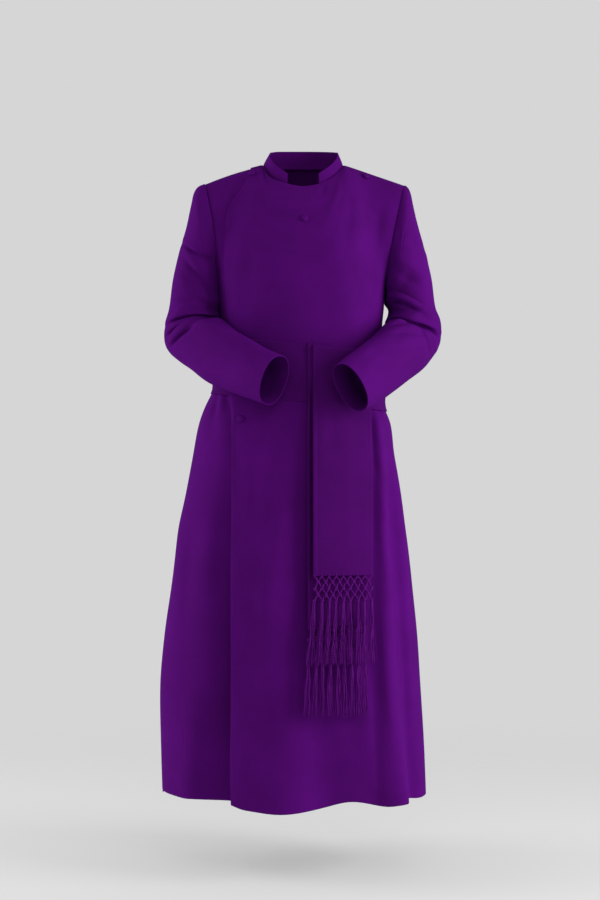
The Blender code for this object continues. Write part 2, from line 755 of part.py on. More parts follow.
def make_fringe(name, end, lift, tassel):
    """A net of knots and cords under a header strip, and strands in tassels from its last knots, in one sheet."""
    left, right, bottom = end
    width = right - left - 2 * KNOT
    flat = bmesh.new()

    def vertex(across, down):
        spread_out = FRINGE_SPREAD * (down / (KNOT_ROWS * NET_DROP + tassel)) * (across / width - 0.5)
        return flat.verts.new((left + KNOT + across + spread_out, 0, bottom - SEAM_GAP - down))

    def knot(across, down):
        corners = {
            "left": vertex(across - KNOT, down),
            "top": vertex(across, down - KNOT),
            "right": vertex(across + KNOT, down),
            "bottom": vertex(across, down + KNOT),
        }
        flat.faces.new((corners["left"], corners["top"], corners["right"], corners["bottom"]))
        return corners

    step = width / NET_CELLS
    knots = []
    for row in range(1, KNOT_ROWS + 1):
        count = NET_CELLS + (row + 1) % 2
        start = 0.0 if count > NET_CELLS else step / 2
        knots.append([knot(start + step * k, HEADER + NET_DROP * row - 6.0) for k in range(count)])
    for upper_row, lower_row in zip(knots, knots[1:]):
        wide_below = len(lower_row) > len(upper_row)
        for k, above in enumerate(upper_row):
            for side in (0, 1):
                other = k + side if wide_below else k - 1 + side
                if 0 <= other < len(lower_row):
                    below = lower_row[other]
                    if side == 0:
                        flat.faces.new((above["left"], above["bottom"], below["right"], below["top"]))
                    else:
                        flat.faces.new((above["bottom"], above["right"], below["top"], below["left"]))
    hang_header(flat, vertex, knots[0], width, step)
    hang_tassels(flat, vertex, knots[-1], step, tassel)
    return thicken(name, flat, lift)


def hang_header(flat, vertex, first_row, width, step):
    """The header strip, with two cords down to each knot of the first row."""
    foot = STRAND_WIDTH * 0.6
    across = [-KNOT]
    for k in range(len(first_row)):
        for middle in (step * (k + 0.14), step * (k + 0.86)):
            across += [middle - foot, middle + foot]
    across.append(width + KNOT)
    top = [vertex(spot, 0) for spot in across]
    low = [vertex(spot, HEADER) for spot in across]
    for k in range(len(across) - 1):
        flat.faces.new((top[k], low[k], low[k + 1], top[k + 1]))
    for k, below in enumerate(first_row):
        flat.faces.new((low[4 * k + 1], below["left"], below["top"], low[4 * k + 2]))
        flat.faces.new((low[4 * k + 3], below["top"], below["right"], low[4 * k + 4]))


def hang_tassels(flat, vertex, last_row, step, tassel):
    """Strands from the lower half of each last knot, in a fan, of uneven lengths."""
    down = HEADER + NET_DROP * KNOT_ROWS - 6.0
    reach = (TASSEL_STRANDS - 1) / 2
    for k, above in enumerate(last_row):
        across = step * k if len(last_row) > NET_CELLS else step * (k + 0.5)
        roots = []
        for strand in range(TASSEL_STRANDS):
            pair = [(strand - reach) * TASSEL_STEP + edge * STRAND_WIDTH / 2 for edge in (-1, 1)]
            roots.append([vertex(across + spot, down + 14 - 0.06 * spot**2) for spot in pair])
        rim = [above["left"]] + [v for pair in roots for v in pair] + [above["right"], above["bottom"]]
        flat.faces.new(rim)
        for strand, (first, second) in enumerate(roots):
            middle = across + (strand - reach) * TASSEL_STEP
            short = 9.0 * ((strand * 7 + k * 5) % 4) / 3
            low_first = vertex(middle - STRAND_WIDTH / 2, down + tassel - short)
            low_second = vertex(middle + STRAND_WIDTH / 2, down + tassel - short)
            flat.faces.new((first, low_first, low_second, second))


def thicken(name, flat, lift):
    """Lays the flat net in front of the skirt and gives it a thickness."""
    bmesh.ops.triangulate(flat, faces=flat.faces)
    bmesh.ops.recalc_face_normals(flat, faces=flat.faces)
    bm = bmesh.new()
    front, back = {}, {}
    for vert in flat.verts:
        point = front_point(vert.co.x, vert.co.z, lift)
        normal = front_normal(vert.co.x, vert.co.z)
        back[vert.index] = bm.verts.new(point)
        front[vert.index] = bm.verts.new(point + normal * STRAND_THICK)
    for face in flat.faces:
        bm.faces.new([front[v.index] for v in face.verts])
        bm.faces.new([back[v.index] for v in reversed(face.verts)])
        for loop in face.loops:
            if loop.edge.is_boundary:
                a, b = loop.vert.index, loop.link_loop_next.vert.index
                bm.faces.new((front[b], front[a], back[a], back[b]))
    flat.free()
    return new_object(name, bm, FRINGE)


# ---------------------------------------------------------------- covered buttons

BUTTON_RADIUS, BUTTON_HEIGHT = 7.5, 5.2
BUTTON_SIDES = 12
BUTTON_PROFILE = table(
    "radius height",
    (0.75, 0.0),
    (1.0, 0.35),
    (0.82, 0.74),
    (0.45, 0.95),
)


def make_button(name, foot, normal):
    """A domed button, standing a gap off the cloth at foot and facing along normal."""
    bm = bmesh.new()
    frame = normal.to_track_quat("Z", "Y")
    rings = []
    for row in BUTTON_PROFILE:
        ring = []
        for k in range(BUTTON_SIDES):
            angle = 2 * math.pi * k / BUTTON_SIDES
            spot = Vector((math.cos(angle), math.sin(angle), 0)) * row.radius * BUTTON_RADIUS
            spot.z = row.height * BUTTON_HEIGHT
            ring.append(bm.verts.new(foot + normal * SEAM_GAP + frame @ spot))
        rings.append(ring)
    crown = bm.verts.new(foot + normal * (SEAM_GAP + BUTTON_HEIGHT))
    for low, high in zip(rings, rings[1:]):
        for k in range(BUTTON_SIDES):
            m = (k + 1) % BUTTON_SIDES
            bm.faces.new((low[k], low[m], high[m], high[k]))
    for k in range(BUTTON_SIDES):
        bm.faces.new((rings[-1][k], rings[-1][(k + 1) % BUTTON_SIDES], crown))
    bm.faces.new(list(reversed(rings[0])))
    new_object(name, bm, BUTTON)


BUTTONS = table(
    "name x height",
    ("button_neck", 3, -125),
    ("button_waist", -129, -544),
    ("button_shoulder_right", -107, -24),
    ("button_shoulder_left", 135, -20),
)


def rise_at(x, height):
    """The rise where the front's form at x reaches a height, found by halving."""
    low, high = -1.0, 1.0
    for _ in range(30):
        middle = (low + high) / 2
        if form(side_at(lambda level_height: x, middle), middle).z < height:
            low = middle
        else:
            high = middle
    return (low + high) / 2


def make_buttons(front):
    """Seats each button on the upper front's own facets."""
    spots = [vert.co / MM for vert in front.data.vertices]
    faces = [list(face.vertices) for face in front.data.polygons]
    cloth = BVHTree.FromPolygons(spots, faces)
    for row in BUTTONS:
        rise = rise_at(row.x, row.height)
        side = side_at(lambda height: row.x, rise)
        outward = form_normal(side, rise)
        foot, normal, _, _ = cloth.ray_cast(form(side, rise) + outward * 20.0, -outward)
        make_button(row.name, foot, normal if normal.dot(outward) > 0 else -normal)


def clear_scene():
    for obj in list(bpy.data.objects):
        bpy.data.objects.remove(obj)


clear_scene()
make_body()
make_sleeve("sleeve_right", RIGHT_SLEEVE, -1)
make_sleeve("sleeve_left", LEFT_SLEEVE, 1)
make_collar()
make_band()
make_end("cincture_end_rear", REAR_END, REAR_END_LIFT)
make_end("cincture_end_front", FRONT_END, FRONT_END_LIFT)
make_fringe("fringe_rear", REAR_END, REAR_END_LIFT, REAR_TASSEL)
make_fringe("fringe_front", FRONT_END, FRONT_END_LIFT, FRONT_TASSEL)
make_buttons(bpy.data.objects["front_left"])
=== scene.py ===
# %% [markdown]
# # A purple cassock with its fringed cincture
#
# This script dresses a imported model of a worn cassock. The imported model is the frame: it fixes every size
# and place. Each piece of cloth here is cut flat as a grid, laid on the same body form that the frame was
# worked out from, given its thickness, and finished with the creases, stitches, buttons and cords that a
# maker and a wearer give it.
#
# Lengths in the tables are millimetres, and the frame is metres. +Z is up, -Y is the front and +X the
# wearer's left.

# %% Load the frame
import json
import math
import random
from collections import namedtuple

import bpy
import numpy as np
from mathutils import Matrix, Vector
from mathutils.bvhtree import BVHTree

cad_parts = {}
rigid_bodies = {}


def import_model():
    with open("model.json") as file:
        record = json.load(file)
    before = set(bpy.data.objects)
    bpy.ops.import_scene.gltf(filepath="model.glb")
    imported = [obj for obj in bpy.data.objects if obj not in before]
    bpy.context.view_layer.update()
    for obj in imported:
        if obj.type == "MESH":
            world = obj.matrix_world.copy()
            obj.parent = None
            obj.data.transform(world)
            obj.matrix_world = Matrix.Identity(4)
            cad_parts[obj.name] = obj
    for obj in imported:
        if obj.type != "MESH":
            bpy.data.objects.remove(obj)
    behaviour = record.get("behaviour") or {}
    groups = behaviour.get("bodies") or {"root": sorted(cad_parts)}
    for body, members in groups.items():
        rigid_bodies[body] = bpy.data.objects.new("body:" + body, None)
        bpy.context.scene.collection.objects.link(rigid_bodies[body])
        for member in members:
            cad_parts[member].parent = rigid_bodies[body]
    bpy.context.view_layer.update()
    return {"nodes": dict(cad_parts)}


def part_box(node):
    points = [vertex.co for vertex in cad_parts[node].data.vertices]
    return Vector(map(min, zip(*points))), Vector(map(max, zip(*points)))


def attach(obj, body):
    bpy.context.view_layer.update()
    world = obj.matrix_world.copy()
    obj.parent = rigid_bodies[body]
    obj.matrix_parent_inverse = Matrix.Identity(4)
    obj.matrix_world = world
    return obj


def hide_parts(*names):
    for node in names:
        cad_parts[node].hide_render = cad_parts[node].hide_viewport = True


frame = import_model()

MM = 0.001
bpy.ops.object.select_all(action="DESELECT")
print("frame nodes:", len(frame["nodes"]))

# %% [markdown]
# ## Camera
#
# The camera stands four metres in front, level with the hips, and looks straight back along +Y. Its long
# lens keeps the sleeves and the hem in the proportions of a person seen across a room.

# %% Place the camera
CAMERA_PLACE = (-0.00645, -4.0, -0.608)
SENSOR_WIDTH, LENS = 36.0, 74.42  # both in millimetres
FAR_LIMIT = 60.0  # metres

bpy.ops.object.camera_add(location=CAMERA_PLACE, rotation=(math.radians(90), 0, 0))
camera = bpy.context.object
camera.name = "portrait_camera"
camera.data.lens = LENS
camera.data.sensor_width = SENSOR_WIDTH
camera.data.clip_end = FAR_LIMIT
bpy.context.scene.camera = camera
print("camera lens", camera.data.lens)

# %% [markdown]
# ## Light
#
# Cloth in a studio is lit by large soft boxes. An even grey world stands for the white walls of the
# studio. A tall soft box on each side rakes across the folds, the one on the wearer's left being the
# stronger, and a weak one from above the camera keeps the front from going flat.

# %% World and soft boxes
BACKDROP_GREY = 0.672  # linear value of a pale studio grey
WALL_LIGHT = 0.60  # the share of that grey that lights the cloth, so that the soft boxes model its folds


def soft_box(name, place, aim, size, watts):
    """A white area light at place that faces aim; size is its width and height in metres."""
    bpy.ops.object.light_add(type="AREA", location=place)
    light = bpy.context.object
    light.name = name
    light.data.shape = "RECTANGLE"
    light.data.size, light.data.size_y = size
    light.data.energy = watts
    light.rotation_euler = (Vector(aim) - Vector(place)).to_track_quat("-Z", "Y").to_euler()
    light.visible_camera = False


world = bpy.data.worlds.new("studio_walls")
bpy.context.scene.world = world
world.use_nodes = True
walls = world.node_tree.nodes["Background"]
walls.inputs["Color"].default_value = (BACKDROP_GREY,) * 3 + (1.0,)
ray = world.node_tree.nodes.new("ShaderNodeLightPath")
dimmed = world.node_tree.nodes.new("ShaderNodeMapRange")
dimmed.inputs["To Min"].default_value = WALL_LIGHT
world.node_tree.links.new(ray.outputs["Is Camera Ray"], dimmed.inputs["Value"])
world.node_tree.links.new(dimmed.outputs["Result"], walls.inputs["Strength"])
bpy.context.scene.view_settings.view_transform = "Standard"

soft_box("soft_box_left", (2.5, -0.95, -0.2), (0.05, 0.0, -0.6), (1.4, 2.4), 68.0)
soft_box("soft_box_right", (-2.75, 0.15, -0.2), (-0.05, 0.0, -0.6), (1.6, 2.4), 55.0)
soft_box("soft_box_front", (0.4, -3.4, 1.6), (0.0, 0.0, -0.5), (2.2, 1.4), 16.0)

# %% [markdown]
# ## Small helpers for materials
#
# Colours are picked as sRGB hex values, as in a paint shop's chart, and `linear` turns them to the linear
# values that the shader works in. `add_node` adds a node, sets its values and joins its links. Cloth and
# thread are both coloured from a dark to a light tone by a pattern: on the cloth that is its dyed tone, on
# the thread it is the painted shade and shine of its twist. Both raise a fine relief with a bump node, so
# two more functions do that for each of them.

# %% Colour and node helpers
def linear(hex_colour):
    """A linear RGBA colour from an sRGB hex value such as "5a0c7a"."""
    channels = [int(hex_colour[k : k + 2], 16) / 255 for k in (0, 2, 4)]
    return tuple(c / 12.92 if c <= 0.04045 else ((c + 0.055) / 1.055) ** 2.4 for c in channels) + (1.0,)


def set_values(node, values):
    for socket, value in values.items():
        node.inputs[socket].default_value = value


def add_node(tree, kind, settings=None, values=None, links=None):
    """A new shader node, its properties, its sockets' values and its links (socket: another's output)."""
    node = tree.nodes.new("ShaderNode" + kind)
    for key, value in (settings or {}).items():
        setattr(node, key, value)
    set_values(node, values or {})
    for socket, output in (links or {}).items():
        tree.links.new(output, node.inputs[socket])
    return node


def new_material(name):
    """A new material, its node tree and its main shader."""
    made = bpy.data.materials.new(name)
    made.use_nodes = True
    return made, made.node_tree, made.node_tree.nodes["Principled BSDF"]


def dye_and_painted_shine(tree, shader, pattern, tones, stops):
    """Colours the shader from the first tone to the second as the pattern passes from stop to stop: a dyed
    tone on cloth, painted shade and shine on thread.
    """
    ramp = add_node(tree, "ValToRGB", None, None, {"Fac": pattern})
    for element, tone, stop in zip(ramp.color_ramp.elements, tones, stops):
        element.position = stop
        element.color = linear(tone)
    tree.links.new(ramp.outputs["Color"], shader.inputs["Base Color"])


def emboss(tree, shader, height, strength, distance):
    """Raises the shader's surface by a pattern of heights."""
    values = {"Strength": strength, "Distance": distance}
    bump = add_node(tree, "Bump", None, values, {"Height": height})
    tree.links.new(bump.outputs["Normal"], shader.inputs["Normal"])


print("linear of 5a0c7a:", [round(c, 4) for c in linear("5a0c7a")])

# %% [markdown]
# ## Cloth materials
#
# The cassock is a wool and polyester gabardine: a smooth twill, dyed through, pressed, with a slight bloom
# where it turns away from the eye. Real twill lines are about 0.4 mm apart. That is too fine to show, so
# they are drawn 1.3 mm apart and kept very shallow. The pattern runs on each piece's own cut, so the lines
# follow the grain.

# %% A woven cloth material
TWILL_PITCH = 1.3 * MM  # drawn three times coarser than the real 0.4 mm
RIB_PITCH = 1.1 * MM
BANDS_PER_UNIT = 3.183  # the bands that a wave texture of scale 1 draws along one unit
SLUBS = (900.0, 45.0, 1.0)  # thick places in the yarn: narrow across it, long along it
PATCHES = {"Scale": 9.0, "Detail": 4.0, "Roughness": 0.55}
SLUB_SHARE = 0.35  # how much the slubs colour the cloth, beside its broad patches
CLOTH_RELIEF = 0.4 * MM
PURPLE_SHINE = {"Specular Tint": linear("a040d0"), "Sheen Tint": linear("8010b4")}
CLOTH_SHINE = {"IOR": 1.45, "Specular IOR Level": 0.015, "Sheen Roughness": 0.42}


def woven_cloth(name, tones, pitch, slant, ribs, roughness, sheen, relief):
    """A dyed woven cloth on its cut's own UV map, which is in metres: yarn lines, slubs, soft patches."""
    made, tree, shader = new_material(name)
    cut = add_node(tree, "UVMap", {"uv_map": "cut"}).outputs["UV"]
    turned = add_node(tree, "Mapping", None, {"Rotation": (0, 0, math.radians(slant))}, {"Vector": cut})
    yarn = add_node(
        tree,
        "TexWave",
        {"wave_type": "BANDS", "bands_direction": "X"},
        {"Scale": 1 / (pitch * BANDS_PER_UNIT), "Distortion": 0.6, "Detail": 1.0, "Detail Scale": 3.0},
        {"Vector": turned.outputs["Vector"]},
    ).outputs["Fac"]
    along = add_node(tree, "Mapping", None, {"Scale": SLUBS}, {"Vector": cut}).outputs["Vector"]
    slub = add_node(tree, "TexNoise", None, {"Scale": 1.0, "Detail": 3.0}, {"Vector": along}).outputs["Fac"]
    patches = add_node(tree, "TexNoise", None, PATCHES, {"Vector": cut}).outputs["Fac"]
    blend = {"operation": "MULTIPLY_ADD"}
    mixed = add_node(tree, "Math", blend, {1: SLUB_SHARE}, {0: slub, 2: patches})
    dye_and_painted_shine(tree, shader, mixed.outputs["Value"], tones, (0.40, 0.95))
    heights = add_node(tree, "Math", blend, {1: ribs}, {0: yarn, 2: slub})
    emboss(tree, shader, heights.outputs["Value"], relief, CLOTH_RELIEF)
    set_values(shader, {"Roughness": roughness, "Sheen Weight": sheen, **CLOTH_SHINE, **PURPLE_SHINE})
    return made


# the cassock's cloth: a wool and polyester gabardine, its twill at 45 degrees to the cut
gabardine = woven_cloth("wool_gabardine_purple", ("4b0c64", "570e75"), TWILL_PITCH, 45, 1.2, 0.8, 0.10, 0.30)
# the cincture's cloth: a polyester poplin with fine ribs across it
poplin = woven_cloth("ribbed_poplin_purple", ("460c5c", "520e6d"), RIB_PITCH, 90, 1.6, 0.75, 0.06, 0.32)
print("cloths:", gabardine.name, poplin.name)

# %% [markdown]
# Thread and cord are twisted yarn. The eye reads them by the slanted shine of the twist, so the bump runs
# round each strand at an angle, on a UV map whose V follows the strand. The same slanted stripes paint the
# shade and shine of the twist into the thread's colour, from its dark tone to its light one.

# %% A twisted thread material
THREAD_RELIEF = 0.5 * MM
THREAD_SHINE = {"Specular IOR Level": 0.15, "Sheen Weight": 0.06}


def twisted_thread(name, tones, turns_per_metre, roughness, relief):
    """Rayon or polyester thread, shinier than the cloth, with the twist drawn round it in relief and as
    painted shade and shine in its colour.
    """
    made, tree, shader = new_material(name)
    strand = add_node(tree, "UVMap", {"uv_map": "strand"}).outputs["UV"]
    wound = add_node(tree, "Mapping", None, {"Scale": (1.0, turns_per_metre, 1.0)}, {"Vector": strand})
    parts = add_node(tree, "SeparateXYZ", None, None, {"Vector": wound.outputs["Vector"]}).outputs
    slant = add_node(tree, "Math", {"operation": "ADD"}, None, {0: parts["X"], 1: parts["Y"]})
    folded = add_node(tree, "Math", {"operation": "PINGPONG"}, {1: 0.5}, {0: slant.outputs["Value"]})
    twist_relief_and_painted_shine = folded.outputs["Value"]
    # the twist's stripes paint shade and shine into the thread's colour: the dark tone in the grooves, the
    # light tone on the crests
    dye_and_painted_shine(tree, shader, twist_relief_and_painted_shine, tones, (0.0, 0.5))
    emboss(tree, shader, twist_relief_and_painted_shine, relief, THREAD_RELIEF)
    set_values(shader, {"Roughness": roughness, **THREAD_SHINE, **PURPLE_SHINE})
    return made


# the fringes: soft rayon yarn; the stitches and the buttonholes: fine polyester thread
# the two tones of each thread are the painted shade and shine of its twist, not two dyes
fringe_yarn = twisted_thread("rayon_fringe_yarn", ("3c0a54", "6e1688"), 260.0, 0.6, 0.5)
sewing_thread = twisted_thread("polyester_sewing_thread", ("500e6c", "60127e"), 900.0, 0.6, 0.3)
print("threads:", fringe_yarn.name, sewing_thread.name)

# %% [markdown]
# ## The body form
#
# Everything rests on one form: level sections up to the armpit, then arcs that rise to the neck and the
# shoulder seams. `side` runs round the body (0 centre front, 1 the wearer's left seam, 2 centre back, -1
# and 3 the right seam) and `rise` runs up it (-1 hem, 0 armpit, 1 neck or shoulder). These are the frame's
# own sizes.

# %% Sizes of the body form
def table(columns, *rows):
    """A short table: one row a section, fold or seam, with named columns."""
    row_type = namedtuple("Row", columns)
    return [row_type(*row) for row in rows]


ARMPIT, HEM = -255.0, -1344.0
BODY = table(
    "height half_width front back centre_x squareness",
    (HEM, 281, 198, 212, -19, 2.0),
    (-1232, 281, 195, 209, -23, 2.0),
    (-1103, 277, 190, 202, -27, 2.0),
    (-1006, 270, 185, 194, -26, 2.0),
    (-909, 258, 178, 184, -24, 2.05),
    (-812, 246, 170, 173, -23, 2.05),
    (-716, 230, 161, 160, -22, 2.1),
    (-619, 214, 151, 147, -20, 2.15),
    (-552, 204, 144, 137, -17, 2.2),
    (-508, 188, 135, 123, -17, 2.2),
    (-470, 178, 128, 112, -8, 2.2),
    (-430, 173, 125, 108, -6, 2.2),
    (-361, 171, 126, 112, -3, 2.2),
    (-300, 173, 129, 119, -1, 2.2),
    (ARMPIT, 178, 130, 123, -1, 2.2),
)
NECK_HALF, NECK_FRONT, NECK_BACK = 87.0, 68.0, 60.0  # half the neck's width, and its depth both ways
NECK_DROP, NECK_NAPE = -53.0, 6.0  # the neckline's height in front and behind
NECK_SIDE = 0.42  # where the neckline meets the shoulder seam, as a side of the body
NECK_DIP, DIP_TURN, DIP_SPREAD = 10.5, -58.0, 26.0  # the neckline's deeper bow at the wearer's right
TIP_X, TIP_SHIFT = 214.0, 4.0
TIP_RIGHT, TIP_LEFT = -39.5, -42.5  # the height of each shoulder's tip
RISE_RIGHT, RISE_LEFT = 3.0, 1.2  # each shoulder seam's bow above a straight line
FRONT_ARC, BACK_ARC = 1.85, 2.5  # how square the chest and the upper back are, seen from the side
HOLE_FRONT, HOLE_BACK = 57.0, 54.0  # the armhole's reach to the front and to the back
HOLE_INSET_RIGHT, HOLE_INSET_LEFT = 5.0, 0.5  # and how far it cuts in towards the neck
HOLE_BLEND = 0.55  # the share of a panel, from its middle, that the armhole doesn't pull on
CLOTH, SEAM_GAP, LAP = 2.0, 0.35, 2.6
BACK_START = 1.0 + 1e-9  # a side just past the left seam, which counts as the back
print("sections of the body form:", len(BODY))

# %% [markdown]
# Below the cincture the cloth hangs in broad folds. Each fold is a line down the skirt, given by its x at
# the waist, the knee and the hem, and its reach grows towards the hem. Gathers are short and lie just under
# the cincture. The upper front's free edge is a line of its own, and the under front ends behind it.

# %% The skirt's folds, the gathers and the fronts' edges
SKIRT_TOP, KNEE = -500.0, -920.0
FOLDS = table(
    "face x_waist x_knee x_hem width from_z reach_knee reach_hem",
    ("front", -40, -52, -58, 80, -640, 9, 13),
    ("front", 12, 14, 52, 50, -520, -10, -14),
    ("front", 150, 170, 184, 34, -500, 18, 44),
    ("front", 172, 207, 234, 24, -600, -6, -14),
    ("front", -163, -180, -178, 40, -560, -4, -11),
    ("front", -187, -216, -238, 32, -560, 4, 12),
    ("back", -150, -196, -206, 44, -520, 12, 26),
    ("back", -98, -128, -140, 34, -510, -12, -30),
    ("back", -48, -62, -70, 42, -505, 13, 26),
    ("back", 0, -2, -10, 30, -500, -13, -30),
    ("back", 46, 60, 58, 42, -505, 13, 28),
    ("back", 96, 122, 128, 34, -510, -12, -30),
    ("back", 148, 176, 186, 44, -520, 12, 24),
)
GATHER_LENGTH = 70.0
GATHERS = table(
    "face x width reach",
    ("front", -180, 9, -6),
    ("front", -161, 10, -7),
    ("front", 157, 10, -8),
    ("back", -148, 13, -5),
    ("back", -112, 11, -5),
    ("back", -60, 11, -6),
    ("back", 62, 11, -6),
    ("back", 106, 11, -5),
    ("back", 144, 13, -5),
)
UPPER_EDGE = table(
    "height x",
    (HEM, -146),
    (-920, -147),
    (-504, -148),
    (-356, -151),
    (-251, -157),
    (-157, -162),
    (-96, -158),
    (-67, -139),
    (-44, -121),
    (-14, -112),
    (5, -110),
)
UNDER_EDGE_X = 46.0
print("folds:", len(FOLDS), "gathers:", len(GATHERS))

# %% [markdown]
# The form is worked out for whole grids of points at once, so each function takes numpy arrays. `read`
# draws one smooth curve through a table's column, `ease` is the soft step that lets folds and laps fade in
# and out, and `bell` is the soft bump that shapes creases.

# %% Curves
def read(rows, name, height):
    """The column's value at each height, on a smooth curve through the table's rows."""
    heights, values = [np.array([getattr(row, key) for row in rows], float) for key in ("height", name)]
    slopes = np.empty_like(values)
    slopes[1:-1] = (values[2:] - values[:-2]) / (heights[2:] - heights[:-2])
    slopes[0] = (values[1] - values[0]) / (heights[1] - heights[0])
    slopes[-1] = (values[-1] - values[-2]) / (heights[-1] - heights[-2])
    height = np.clip(height, heights[0], heights[-1])
    k = np.clip(np.searchsorted(heights, height, side="right") - 1, 0, len(rows) - 2)
    span = heights[k + 1] - heights[k]
    u = (height - heights[k]) / span
    bend = (u**3 - 2 * u**2 + u) * slopes[k] + (u**3 - u**2) * slopes[k + 1]
    return values[k] + (values[k + 1] - values[k]) * (3 * u**2 - 2 * u**3) + span * bend


def ease(u):
    """0 up to 0, 1 from 1 on, and a smooth step between."""
    u = np.clip(u, 0.0, 1.0)
    return u * u * (3 - 2 * u)


def bell(u):
    """1 at 0, and a smooth fall to nothing on both sides."""
    return np.exp(-(u**2))


def power(value, exponent):
    """A power that keeps the value's sign."""
    return np.copysign(np.abs(value) ** exponent, value)


def stack(x, y, z):
    """Points from their x, y and z."""
    return np.stack(np.broadcast_arrays(x, y, z), axis=-1).astype(float)


def unit(vectors):
    """The vectors at length 1."""
    return vectors / np.maximum(np.linalg.norm(vectors, axis=-1, keepdims=True), 1e-12)


def wrapped(degrees):
    """The same turn, between -180 and 180 degrees."""
    return (degrees + 180.0) % 360.0 - 180.0


def sine_cosine(degrees):
    return np.sin(np.radians(degrees)), np.cos(np.radians(degrees))


print("half a step, half a bell:", ease(0.5), round(float(bell(0.5)), 3))

# %% [markdown]
# A section of the body is a squared ellipse, its front half and back half with depths of their own. The
# folds push the cloth straight out of it or draw it in.

# %% Sections of the body
def fold_reach(height, angle, half_width, centre_x):
    """How far the skirt's folds and gathers carry the cloth out."""

    def bump(face, x, width):
        line = np.degrees(np.arcsin(np.clip((x - centre_x) / half_width, -0.98, 0.98)))
        line = 180.0 - line if face == "back" else line
        return bell(np.radians(wrapped(angle - line)) * half_width / width)

    total = np.zeros(np.broadcast(height, angle).shape)
    for fold in FOLDS:
        high = (height - SKIRT_TOP) / (KNEE - SKIRT_TOP)
        low = np.clip((height - KNEE) / (HEM - KNEE), 0, 1)
        upper_x = fold.x_waist + (fold.x_knee - fold.x_waist) * high
        x = np.where(height > KNEE, upper_x, fold.x_knee + (fold.x_hem - fold.x_knee) * low)
        upper_reach = fold.reach_knee * ease((height - fold.from_z) / (KNEE - fold.from_z))
        lower_reach = fold.reach_knee + (fold.reach_hem - fold.reach_knee) * ease(low)
        total += np.where(height > KNEE, upper_reach, lower_reach) * bump(fold.face, x, fold.width)
    fade = 1 - ease(np.abs(height - SKIRT_TOP) / GATHER_LENGTH)
    for gather in GATHERS:
        total += gather.reach * fade * bump(gather.face, gather.x, gather.width)
    return total * (height <= SKIRT_TOP + GATHER_LENGTH)


def level(height, angle, folded=True):
    """Points of the form at a height: angle 0 is centre front, 90 the wearer's left, 180 centre back."""
    height, angle = np.broadcast_arrays(np.asarray(height, float), np.asarray(angle, float))
    half_width, centre_x = read(BODY, "half_width", height), read(BODY, "centre_x", height)
    sine, cosine = sine_cosine(angle)
    depth = np.where(cosine > 0, read(BODY, "front", height), read(BODY, "back", height))
    exponent = 2.0 / read(BODY, "squareness", height)
    x = centre_x + half_width * power(sine, exponent)
    y = -depth * power(cosine, exponent)
    outward = unit(stack((x - centre_x) / half_width**2, y / depth**2, 0.0))
    reach = fold_reach(height, angle, half_width, centre_x) if folded else np.zeros(height.shape)
    return stack(x, y, height) + reach[..., None] * outward


print("waist section:", np.round(level(-430.0, np.array([0.0, 90.0, 180.0])), 1).tolist())

# %% [markdown]
# Above the armpit the form is held between three lines: the neck loop, the shoulder seams and the armholes.
# The sides are told apart by `hand`, -1 for the wearer's right and 1 for the left.

# %% Neck, shoulder, armhole
NECK_CURVE = 1.5  # above 1 the neckline stays level longer at the sides
DIP_FORWARD = 0.5  # where the neckline dips it also comes forward, by this share


def neck_dip(angle):
    """How much lower the neckline hangs at the wearer's right front."""
    turn = wrapped(np.asarray(angle, float))
    return NECK_DIP * bell((turn - DIP_TURN) / DIP_SPREAD) * ease((turn + 90.0) / 15.0)


def neck_loop(angle):
    """Points round the neckline."""
    sine, cosine = sine_cosine(angle)
    depth = np.where(cosine > 0, NECK_FRONT, NECK_BACK)
    height = np.where(cosine > 0, NECK_DROP, NECK_NAPE) * np.abs(cosine) ** NECK_CURVE
    dip = neck_dip(angle)
    return stack(NECK_HALF * sine, -depth * cosine - DIP_FORWARD * dip, height - dip)


def shoulder(hand, along):
    """Points of a shoulder seam, from the neck (along 0) to the tip (along 1)."""
    x = hand * NECK_HALF + (hand * TIP_X + TIP_SHIFT - hand * NECK_HALF) * along
    tip, rise = np.where(hand > 0, TIP_LEFT, TIP_RIGHT), np.where(hand > 0, RISE_LEFT, RISE_RIGHT)
    return stack(x, 0.0, tip * along + rise * np.sin(np.pi * along))


def armhole(hand, front, up):
    """The armhole's edge, from the armpit (up 0) to the shoulder tip (up 1)."""
    pit, tip = level(ARMPIT, 90.0 * hand), shoulder(hand, 1.0)
    climb = (1 - np.cos(np.pi * up)) / 2
    deepest = np.where(hand > 0, HOLE_INSET_LEFT, HOLE_INSET_RIGHT)
    inset = hand * deepest * np.maximum(np.sin(np.pi * climb), 0) ** 1.5
    x = pit[..., 0] + (tip[..., 0] - pit[..., 0]) * climb**1.4 - inset
    y = np.where(front, -HOLE_FRONT, HOLE_BACK) * np.maximum(np.sin(np.pi * up), 0)
    return stack(x, y, pit[..., 2] + (tip[..., 2] - pit[..., 2]) * climb)


print("shoulder tips:", np.round(shoulder(np.array([-1.0, 1.0]), 1.0), 1).tolist())

# %% [markdown]
# Each point between the armpit's level and those lines climbs an arc, steep at first and flat at the
# shoulder. Near the arm it is drawn to the armhole's edge as well. `form` joins this upper part to the
# sections below, and `form_normal` gives the direction that is straight out of the cloth.

# %% The whole form
NORMAL_STEP = 0.004  # in units of side and rise


